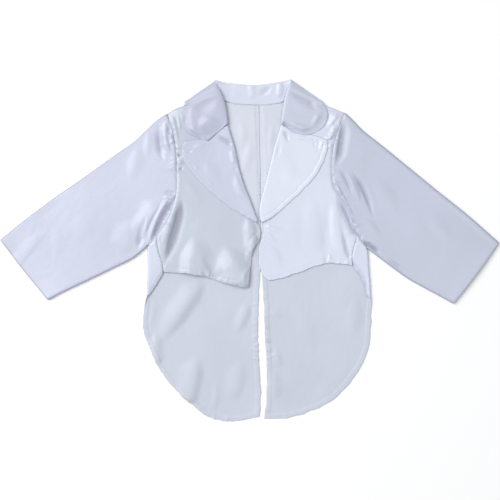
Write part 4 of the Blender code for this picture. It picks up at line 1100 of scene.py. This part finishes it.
def lapel(half):
    """A lapel lies on the front, and goes round the roll line to meet the front's inner edge."""
    inward, seed, name = -half["sign"], half["seed"], "lapel_" + half["name"]
    hinge = curve(half["roll"], ROLL_STEP) + (-inward * (BEND + SATIN / 2), 0)
    meet = curve(half["inner"])
    low, high = hinge[:, 1].min() + MEET_CLEAR, hinge[:, 1].max()
    meet = meet[(meet[:, 1] < high) & (meet[:, 1] > low)]
    under = opened(meet + (inward * MEET_GAP, 0), hinge, inward)
    turns = np.linspace(0, 1, BEND_ROWS)
    top_bend = [hinge[0] + (inward * t * np.pi * BEND, 0) for t in turns]
    low_bend = [hinge[-1] + (inward * t * np.pi * BEND, 0) for t in turns]
    outer, gorge = free_edge(half, "lapel"), curve(half["gorge"])
    outline = closed(outer[:-1], low_bend, under[::-1], top_bend[::-1], gorge[1:])
    wide = half["topstitch"]
    stitched = inset(outer, wide, outline)
    rows = bend_rows(hinge, inward)
    rows += [inset(outer, d, outline) for d in EDGE_ROWS]
    rows += [aside(stitched, d) for d in STITCH_ROWS]
    busy = [(outer, BUSY), (hinge, BANDS["roll"])] + sharp_creases(half["lapel_folds"])
    flat, cells = cut_cloth(outline, rows, busy)

    def lie(points):
        x = hinge_at(hinge, points[:, 1])
        at_roll = np.stack((x, points[:, 1]), axis=1)
        rolled = back_rest(at_roll) + LAYER + 2 * BEND
        resting = front_height(points, half) + LAPEL_CLEAR
        away = inward * (x - points[:, 0])
        return resting + (rolled - resting) * (1 - ease(away / ROLL_WIDTH))

    placed = turned(flat, hinge, inward, -1, lie)
    reach = beyond(flat, hinge, inward)
    past, width = ROLL_CALM
    lying = ease((past - reach) / width)
    free_gap = nearest(flat, outer)[0]
    gathers = puckers(flat, outer, "lapel", seed)
    gathers += half["roll_pucker"] * puckers(flat, hinge, "roll", seed)
    own = creases(flat, half["lapel_folds"]) + gathers + drift(flat, "lapel", seed)
    line_dip = groove(flat, stitched) * half["topstitch_depth"]
    full = np.clip(1 - ((free_gap - wide / 2) / (wide / 2)) ** 2, 0, 1)
    droop = drooped(free_gap, LAPEL_DROOP)
    placed[:, 2] += lying * (own + line_dip + half["edge_roll"] * full - droop)
    edge, folded = rounded(free_gap), turned_in(free_gap)
    above, below = ((SATIN / 2 + extra * folded) * edge for extra in LAPEL_EXTRA)
    # Painted shade in the lapel's folds and gathers
    piece = sew(name + "_cloth", placed, cells, above, below, flat,
                painted_shade_of((own - droop) * lying), (SATINS[name], SATINS[name]))
    run = thread_run(stitched, flat[reach < 0], (placed[:, 2] + above)[reach < 0])
    return lay(piece, name, [run])


def sleeve(half):
    """A sleeve: a flattened tube, round at its top and low edges and open at both ends."""
    sign, seed, name = half["sign"], half["seed"], "sleeve_" + half["name"]
    upper, lower, hole = (curve(half[k], ends=ARC) for k in ("sleeve_top", "sleeve_low", "armhole"))
    upper[0], lower[0] = hole[0], hole[-1]
    cuff = np.stack((lower[-1], upper[-1]))
    cuff_seam = table("x y", cuff[0], cuff.mean(axis=0) + (CUFF_BOW * sign, 0), cuff[1])
    mouth = curve(cuff_seam, ends=ARC)
    plain = slice(len(ARC) - 1, 1 - len(ARC))
    upper_edge, lower_edge = (np.vstack((edge[:1], edge[plain][1:-1], edge[-1:]))
                              for edge in (upper, lower))
    outline = closed(hole, lower_edge, mouth, upper_edge[::-1])
    rows = [inset(edge, d, outline) for edge in (upper_edge, lower_edge) for d in ARC[1:]]
    rows += [inset(hole, d, outline) for d in SEAM_ROWS]
    rows += [inset(mouth, d, outline) for d in EDGE_ROWS]
    busy = [(hole, BANDS["sleeve_armhole"]), (mouth, BANDS["cuff"])]
    busy += [(edge, BANDS["sleeve_side"]) for edge in (upper_edge, lower_edge)]
    flat, cells = cut_cloth(outline, rows, busy + sharp_creases(half["sleeve_folds"]))
    gap = np.minimum(nearest(flat, upper_edge)[0], nearest(flat, lower_edge)[0])
    bulge = np.sqrt(np.maximum(BEND**2 - (BEND - np.minimum(gap, BEND)) ** 2, 0))
    inner = ease((gap - 1.0) / FOLD_FADE)
    own = creases(flat, half["sleeve_folds"]) + drift(flat, "sleeve", seed)
    held = ease((nearest(flat, hole)[0] + SEAM_GIVE) / SEAM_HOLD)
    gathers = puckers(flat, hole, "sleeve_armhole", seed)
    gathers += puckers(flat, lower_edge, "underarm", seed)
    mouth_gap = nearest(flat, mouth)[0]
    flatter = 1 - ease(mouth_gap / CUFF_LENGTH)
    flatter *= -half["cuff_drop"] * ease((gap - BEND) / CUFF_SIDE)
    change = (own + gathers) * inner * held + flatter + seam_dip(flat, hole) * bulge / BEND
    change = np.maximum(change, 2 * SATIN - 2 * bulge)
    over = np.column_stack((flat, FLAT + BEND + bulge + change))
    under = np.column_stack((flat, FLAT + BEND - bulge))
    index = np.arange(len(flat)) + len(flat)
    shared = gap < 1e-4
    index[shared] = np.where(shared)[0]
    used, both = numbered_anew(np.vstack((cells, index[cells[:, ::-1]])), 2 * len(flat))
    along = np.array((np.cos(half["grain"]), np.sin(half["grain"])))
    across = np.array((-along[1], along[0]))
    cloth = np.stack((flat @ across, flat @ along), axis=1)
    edge = rounded(mouth_gap) * (1 + CUFF_WIDE * turned_in(mouth_gap, CUFF_HEM))
    thick = SATIN / 2 * np.tile(edge, 2)[used]
    # Painted shade along the sleeve's round edges and cuff, on both layers, and in its folds
    edge_shade = EDGE_PAINTED_SHADE * (1 - ease(np.minimum(gap, mouth_gap) / EDGE_PAINTED_SHADE_WIDE))
    deep = np.maximum(painted_shade_of(change - flatter), edge_shade)
    piece = sew(name + "_cloth", np.vstack((over, under))[used], both, thick,
                thick, np.vstack((cloth, cloth))[used], np.concatenate((deep, edge_shade))[used],
                (SATINS[name], SATINS["reverse"]))
    return lay(piece, name)


def height_below(points, pieces):
    """Top of the pieces under each point, or far down where there is none."""
    tops = [BVHTree.FromPolygons([v.co / MM for v in piece.data.vertices],
                                 [p.vertices for p in piece.data.polygons]) for piece in pieces]
    down = Vector((0, 0, -1))
    found = np.full(len(points), NOTHING)
    for i, (x, y, _) in enumerate(points):
        hits = [top.ray_cast((x, y, ABOVE_ALL), down)[0] for top in tops]
        found[i] = max((hit.z for hit in hits if hit), default=NOTHING)
    return found


def collar_cloth():
    """Points of the collar, section by section, and how far round the neck each section is."""
    sections = []
    for nx, ny, nz, fx, fy, fz, stand, fall, ex, ey, ez in np.stack(list(COLLAR.values()), axis=1):
        neck, edge, tip = np.array((nx, ny)), np.array((ex, ey)), np.array((fx, fy))
        inner = tip + BEND * (neck - tip) / np.linalg.norm(neck - tip)
        outer = tip + BEND * (edge - tip) / np.linalg.norm(edge - tip)
        sections.append([
            (*neck, nz),
            (*((neck + inner) / 2), (nz + stand) / 2 + STAND_CROWN),
            (*inner, stand),
            (*tip, fz),
            (*outer, fall),
            (*(outer + (edge - outer) * 0.5), (fall + ez) / 2),
            (*edge, ez)])
    grid = np.array(sections)
    lengthwise = lengths(grid[:, 3])
    stops = np.linspace(0, lengthwise[-1], COLLAR_SECTIONS)
    fine = np.stack([smooth(grid[:, j], lengthwise, stops) for j in range(grid.shape[1])], axis=1)
    return np.array([smooth(section, COLLAR_KNOTS, COLLAR_PLACES) for section in fine]), stops


def collar(below):
    """The collar: sections round the neck, each from the neck seam over the turned edge."""
    cloth, stops = collar_cloth()
    wide = len(COLLAR_PLACES)
    points = cloth.reshape(-1, 3)
    place = np.tile(COLLAR_PLACES, COLLAR_SECTIONS)
    turn = np.repeat(stops, wide)
    past, width = TOP_PLACE
    on_top = ease(points[:, 2] - FALL_LEVEL) * ease((place - past) / width)
    past, width = STAND_PLACE
    standing = ease((past - place) / width)
    spot = points[:, :2].copy()
    change = creases(spot, CREASES_COLLAR) * on_top + creases(spot, CREASES_STAND) * standing
    change += drift(spot, "collar") * (on_top + standing)
    edge_gap = np.linalg.norm(spot - np.repeat(cloth[:, -1, :2], wide, axis=0), axis=1)
    end_gap = np.minimum(turn, stops[-1] - turn)
    rail = np.array(((0.0, 0.0), (stops[-1], 0.0)))
    gathers = puckers(np.stack((turn, edge_gap), axis=1), rail, "collar_edge") * on_top
    points[:, 2] += change + gathers
    sinking = 1 - ease((np.minimum(edge_gap, end_gap) - 1) / COLLAR_SINK_WIDE)
    past, width = SINK_PLACE
    sinking *= on_top * ease((place - past) / width)
    bed = height_below(points, below) + SATIN + AIR
    sink, low, level, width = COLLAR_SINK
    limit = sink + low * ease((level - points[:, 1]) / width)
    points[:, 2] += np.where(bed > 0, sinking * np.clip(bed - points[:, 2], -limit, sink), 0)
    edge = rounded(np.minimum(edge_gap, end_gap + END_LEAST))
    hem, more, step = COLLAR_HEM
    thick = SATIN / 2 * edge * (1 + more * (1 - ease((edge_gap - hem) / step)) * (place > 1))
    start = (np.arange(COLLAR_SECTIONS - 1)[:, None] * wide + np.arange(wide - 1)).ravel()
    cells = np.concatenate((
        np.stack((start, start + wide, start + 1), axis=1),
        np.stack((start + 1, start + wide, start + wide + 1), axis=1)))
    spread = np.stack((turn, COLLAR_WIDE * place), axis=1)
    # The stand takes a lighter copy of the satin and the left fall a darker one: painted light and
    # painted shade
    left_side = turn[cells].max(axis=1) < stops[-1] / 2
    left_side &= points[cells][:, :, 2].max(axis=1) > LEFT_LEVEL
    finish = np.where(place[cells].max(axis=1) <= STAND_TO, 2, np.where(left_side, 3, 0))
    satins = [SATINS[name] for name in ("collar", "collar", "stand", "collar_left_painted_shade")]
    # Painted shade in the collar's folds
    piece = sew("collar_cloth", points, cells, thick, thick, spread,
                painted_shade_of(change), satins, [int(i) for i in finish])
    return lay(piece, "collar")


# Stitches
STITCH = 2.2           # length of a stitch
STITCH_PITCH = 2.9
STITCH_START = 0.4     # where the first one starts
STITCH_LIFT = (1.5, 0.9)  # how far its middle rises and its ends sink, in radii of the thread
THREAD = 0.17          # radius of the thread
THREAD_RINGS = np.array((-1.0, -0.55, 0.0, 0.55, 1.0))
THREAD_LEAST = 0.12    # square of its least width, as a share, at a stitch's two ends
THREAD_SIDES = 6
RUN_STEP = 0.7         # spacing of points along a line of stitches


def thread_run(path, flat, height):
    """The path of a line of stitches on the cloth, with its height from the nearest points."""
    path = even(path, RUN_STEP)
    tree = search_tree(flat)
    lift = []
    for p in path:
        found = tree.find_n((p[0], p[1], 0), 3)
        weight = np.array([1 / (f[2] + 0.05) for f in found])
        lift.append((weight * height[[f[1] for f in found]]).sum() / weight.sum())
    return np.column_stack((path, lift))


def stitches(name, runs):
    """Machine stitches along the runs, joined as one piece."""
    points, faces = [], []
    ring = np.arange(THREAD_SIDES) / THREAD_SIDES * 2 * np.pi
    swell = np.sqrt(np.maximum(1 - THREAD_RINGS**2, THREAD_LEAST))
    rise, sink = STITCH_LIFT
    for run in runs:
        travel = lengths(run)
        for start in np.arange(STITCH_START, travel[-1] - STITCH, STITCH_PITCH):
            stops = start + STITCH * (THREAD_RINGS + 1) / 2
            middle = np.stack([np.interp(stops, travel, run[:, i]) for i in range(3)], axis=1)
            middle[:, 2] += THREAD * (rise * swell - sink)
            ahead = middle[-1] - middle[0]
            ahead /= np.linalg.norm(ahead)
            side = np.cross((0, 0, 1), ahead)
            side /= np.linalg.norm(side)
            up = np.cross(ahead, side)
            base = len(points)
            for centre, wide in zip(middle, THREAD * swell):
                points += [centre + wide * (np.cos(a) * side + np.sin(a) * up) for a in ring]
            last = base + (len(THREAD_RINGS) - 1) * THREAD_SIDES
            for low in range(base, last, THREAD_SIDES):
                for j in range(THREAD_SIDES):
                    a, b = low + j, low + (j + 1) % THREAD_SIDES
                    faces.append((a, b, b + THREAD_SIDES, a + THREAD_SIDES))
            faces.append(tuple(base + j for j in reversed(range(THREAD_SIDES))))
            faces.append(tuple(last + j for j in range(THREAD_SIDES)))
    return new_piece(name, np.array(points), faces, [THREAD_FINISH])


# Finishes
FLOATS = (4200.0, 620.0, 1.0)  # threads of the satin for each metre, across and along the grain
SLUBS = (900.0, 60.0, 1.0)     # thicker places in them
SLUB_SHARE = 0.35      # their height beside the threads'
WRINKLE = (95.0, 60.0, 1.0)    # small wrinkles
WRINKLE_SHIFT = (0.03, 0.03, 0.0)  # how far they wander, in metres
PAINTED_SHADE_COLOUR_SHARE = 0.75      # share of the painted shade colour where the painted shade is full
GLOSS_SPREAD = 0.06    # how uneven the gloss is


def put(tree, socket, value):
    """A value in a socket, or a link to it from another."""
    if isinstance(value, bpy.types.NodeSocket):
        tree.links.new(value, socket)
    else:
        socket.default_value = value


def fill(tree, made, **values):
    """A node with its settings; names of sockets fill them, other names set its options."""
    for key, value in values.items():
        label = key.replace("_", " ")
        if label in made.inputs:
            put(tree, made.inputs[label], value)
        else:
            setattr(made, key, value)
    return made


def node(tree, kind, **values):
    """A new node with its settings."""
    return fill(tree, tree.nodes.new(kind), **values)


def maths(tree, kind, operation, *values):
    """The result of one sum on sockets, numbers or vectors."""
    made = node(tree, kind, operation=operation)
    for socket, value in zip(made.inputs, values):
        put(tree, socket, value)
    return made.outputs[0]


def mixed(tree, share, one, two):
    """A colour between two others."""
    made = node(tree, "ShaderNodeMix", data_type="RGBA", Factor=share)
    for socket, value in zip(made.inputs[6:8], (one, two)):
        put(tree, socket, value)
    return made.outputs[2]


def group(name, inputs, outputs):
    """An empty shader group with named sockets, and its two end nodes."""
    made = bpy.data.node_groups.new(name, "ShaderNodeTree")
    for label, kind, value in inputs:
        socket = made.interface.new_socket(label, in_out="INPUT", socket_type=kind)
        if value is not None:
            socket.default_value = value
    for label, kind in outputs:
        made.interface.new_socket(label, in_out="OUTPUT", socket_type=kind)
    return made, made.nodes.new("NodeGroupInput"), made.nodes.new("NodeGroupOutput")


def weave_group():
    """Satin threads: long floats along the grain, with slubs, as a height."""
    made, start, end = group(
        "satin_threads", [("Cloth", "NodeSocketVector", None)], [("Height", "NodeSocketFloat")])
    cloth = start.outputs["Cloth"]
    fine = node(made, "ShaderNodeTexNoise", Scale=1.0, Detail=3.0, Roughness=0.6,
                Vector=maths(made, "ShaderNodeVectorMath", "MULTIPLY", cloth, FLOATS))
    slub = node(made, "ShaderNodeTexNoise", Scale=1.0, Detail=2.0, Roughness=0.5,
                Vector=maths(made, "ShaderNodeVectorMath", "MULTIPLY", cloth, SLUBS))
    slub_part = maths(made, "ShaderNodeMath", "MULTIPLY", slub.outputs["Fac"], SLUB_SHARE)
    both = maths(made, "ShaderNodeMath", "ADD", fine.outputs["Fac"], slub_part)
    fill(made, end, Height=both)
    return made


def crumple_group():
    """Small soft wrinkles left from handling, as a height."""
    made, start, end = group(
        "soft_wrinkles",
        [("Cloth", "NodeSocketVector", None)],
        [("Height", "NodeSocketFloat"), ("Shade", "NodeSocketFloat")])
    cloth = start.outputs["Cloth"]
    bend = node(made, "ShaderNodeTexNoise", Scale=22.0, Detail=1.0, Vector=cloth)
    shift = maths(made, "ShaderNodeVectorMath", "MULTIPLY_ADD", bend.outputs["Color"],
                  WRINKLE_SHIFT, cloth)
    small = node(made, "ShaderNodeTexNoise", Scale=1.0, Detail=2.0, Roughness=0.45,
                 Vector=maths(made, "ShaderNodeVectorMath", "MULTIPLY", shift, WRINKLE))
    broad = node(made, "ShaderNodeTexNoise", Scale=9.0, Detail=2.0, Roughness=0.5, Vector=shift)
    fill(made, end, Height=small.outputs["Fac"], Shade=broad.outputs["Fac"])
    return made


def tone_group():
    """The satin's colour: a little uneven, with painted shade, cooler and darker, where the mask is
    high.
    """
    made, start, end = group(
        "satin_tone",
        [("Colour", "NodeSocketColor", (0.7, 0.7, 0.8, 1.0)),
         ("Deep", "NodeSocketColor", (0.4, 0.4, 0.6, 1.0)),
         ("Shade", "NodeSocketFloat", 0.5), ("Hollow", "NodeSocketFloat", 0.0)],
        [("Colour", "NodeSocketColor")])
    lift = node(made, "ShaderNodeMapRange", Value=start.outputs["Shade"],
                From_Min=0.3, From_Max=0.7, To_Min=0.965, To_Max=1.03)
    uneven = node(made, "ShaderNodeVectorMath", operation="SCALE",
                  Vector=start.outputs["Colour"], Scale=lift.outputs["Result"])
    tone = mixed(made, start.outputs["Hollow"], uneven.outputs[0], start.outputs["Deep"])
    fill(made, end, Colour=tone)
    return made


THREADS = weave_group()
WRINKLES = crumple_group()
TONE = tone_group()


def material(name):
    """A new material, its nodes and its shader."""
    made = bpy.data.materials.new(name)
    made.use_nodes = True
    return made, made.node_tree, made.node_tree.nodes["Principled BSDF"]


def satin(name, colour, deep, roughness, sheen, bump):
    """A satin: smooth long threads that shine along the grain."""
    made, tree, shader = material(name)
    cloth = node(tree, "ShaderNodeUVMap", uv_map="grain").outputs["UV"]
    threads = node(tree, "ShaderNodeGroup", node_tree=THREADS, Cloth=cloth)
    wrinkles = node(tree, "ShaderNodeGroup", node_tree=WRINKLES, Cloth=cloth)
    # Painted shade: the mask on the piece mixes in a darker, cooler colour
    painted_shade = node(tree, "ShaderNodeAttribute", attribute_name="painted_shade")
    depth = maths(tree, "ShaderNodeMath", "MULTIPLY", painted_shade.outputs["Fac"], PAINTED_SHADE_COLOUR_SHARE)
    tone = node(tree, "ShaderNodeGroup", node_tree=TONE, Colour=(*colour, 1.0),
                Deep=(*deep, 1.0), Shade=wrinkles.outputs["Shade"], Hollow=depth)
    rough = node(tree, "ShaderNodeMapRange", Value=wrinkles.outputs["Shade"],
                 To_Min=roughness - GLOSS_SPREAD, To_Max=roughness + GLOSS_SPREAD)
    soft = node(tree, "ShaderNodeBump", Strength=0.6, Distance=0.0006,
                Height=wrinkles.outputs["Height"])
    fine = node(tree, "ShaderNodeBump", Strength=bump, Distance=0.00005,
                Height=threads.outputs["Height"], Normal=soft.outputs["Normal"])
    fill(tree, shader, Base_Color=tone.outputs["Colour"], Roughness=rough.outputs["Result"],
         Normal=fine.outputs["Normal"], Specular_IOR_Level=0.75, Sheen_Weight=sheen,
         Sheen_Roughness=0.35, Sheen_Tint=(0.86, 0.88, 1.0, 1.0))
    return made


def thread_finish():
    """Spun thread, a little lighter than the satin."""
    made, tree, shader = material("thread")
    place = node(tree, "ShaderNodeTexCoord").outputs["Object"]
    ply = node(tree, "ShaderNodeTexNoise", Scale=2600.0, Detail=1.0, Vector=place).outputs["Fac"]
    tint = mixed(tree, ply, (0.60, 0.64, 0.78, 1.0), (0.74, 0.78, 0.90, 1.0))
    twist = node(tree, "ShaderNodeBump", Strength=0.5, Distance=0.00005, Height=ply)
    fill(tree, shader, Base_Color=tint, Normal=twist.outputs["Normal"], Roughness=0.50)
    return made


# Each satin's colour, its colour for painted shade, roughness, sheen and bump. Fronts, sleeves,
# lapels and collar differ in colour side to side as lit and shaded copies of one satin: painted
# light and shade
PAINTED_SHADE_COLOUR = (0.28, 0.28, 0.43)
PAINTED_SHADE_COLOUR_GREY = (0.27, 0.28, 0.37)
PAINTED_SHADE_COLOUR_FRONT = (0.20, 0.21, 0.29)
SATIN_VALUES = {
    "reverse": ((0.54, 0.57, 0.66), PAINTED_SHADE_COLOUR, 0.55, 0.10, 0.5),
    # inside: a lighter copy of the reverse, painted light
    "inside": ((0.60, 0.625, 0.715), PAINTED_SHADE_COLOUR, 0.50, 0.10, 0.5),
    "side": ((0.60, 0.64, 0.76), PAINTED_SHADE_COLOUR, 0.36, 0.12, 0.4),
    "collar": ((0.525, 0.55, 0.665), PAINTED_SHADE_COLOUR, 0.38, 0.12, 0.4),
    "collar_left_painted_shade": ((0.45, 0.468, 0.588), PAINTED_SHADE_COLOUR, 0.38, 0.12, 0.4),
    "stand": ((0.60, 0.64, 0.755), PAINTED_SHADE_COLOUR, 0.36, 0.12, 0.4),
    "front_left": ((0.498, 0.538, 0.628), PAINTED_SHADE_COLOUR_FRONT, 0.34, 0.12, 0.4),
    "sleeve_left": ((0.548, 0.576, 0.70), PAINTED_SHADE_COLOUR, 0.36, 0.12, 0.4),
    "lapel_left": ((0.522, 0.556, 0.675), PAINTED_SHADE_COLOUR, 0.34, 0.12, 0.4),
    "front_right": ((0.614, 0.654, 0.765), PAINTED_SHADE_COLOUR, 0.34, 0.12, 0.4),
    "sleeve_right": ((0.492, 0.528, 0.638), PAINTED_SHADE_COLOUR_GREY, 0.36, 0.12, 0.4),
    "lapel_right": ((0.658, 0.70, 0.805), PAINTED_SHADE_COLOUR, 0.32, 0.12, 0.4)}
SATINS = {name: satin("satin_" + name, *values) for name, values in SATIN_VALUES.items()}
THREAD_FINISH = thread_finish()

laid = []
for half in (LEFT, RIGHT):
    laid += [back(half), front(half), lapel(half)]
    sleeve(half)
collar(laid)

# Camera straight above, as for a flat picture
WIDTH = 0.750          # what it sees from side to side at the level of the top layers
TOP_LEVEL = 0.004
MIDDLE_X = 0.00075     # middle of the picture
LENS, SENSOR = 85.0, 36.0
camera_data = bpy.data.cameras.new("camera")
camera_data.lens = LENS
camera_data.sensor_width = SENSOR
camera = bpy.data.objects.new("camera", camera_data)
camera.location = (MIDDLE_X, 0.0, WIDTH * LENS / SENSOR + TOP_LEVEL)
bpy.context.collection.objects.link(camera)
bpy.context.scene.camera = camera

# Pale floor and soft light
bpy.ops.mesh.primitive_plane_add(size=6.0, location=(0, 0, 0))
floor = bpy.context.object
floor.name = "floor"
paper, paper_tree, paper_shader = material("floor")
fill(paper_tree, paper_shader, Base_Color=(0.95, 0.95, 0.95, 1.0), Roughness=0.9,
     Specular_IOR_Level=0.0)
floor.data.materials.append(paper)


def softbox(name, place, size, power, aim=(0.0, 0.0, 0.0)):
    """A square soft light that faces a point."""
    lamp = bpy.data.lights.new(name, "AREA")
    lamp.shape = "SQUARE"
    lamp.size = size
    lamp.energy = power
    stand = bpy.data.objects.new(name, lamp)
    stand.location = place
    stand.rotation_euler = (Vector(aim) - Vector(place)).to_track_quat("-Z", "Y").to_euler()
    bpy.context.collection.objects.link(stand)


softbox("key", (-2.2, 1.2, 3.0), 3.0, 124.0)
softbox("ceiling", (0.6, -0.6, 3.2), 2.2, 22.0)
sky = bpy.data.worlds.new("studio")
sky.use_nodes = True
sky.node_tree.nodes["Background"].inputs["Color"].default_value = (0.97, 0.98, 1.0, 1.0)
sky.node_tree.nodes["Background"].inputs["Strength"].default_value = 0.42
bpy.context.scene.world = sky
bpy.context.scene.view_settings.view_transform = "Standard"
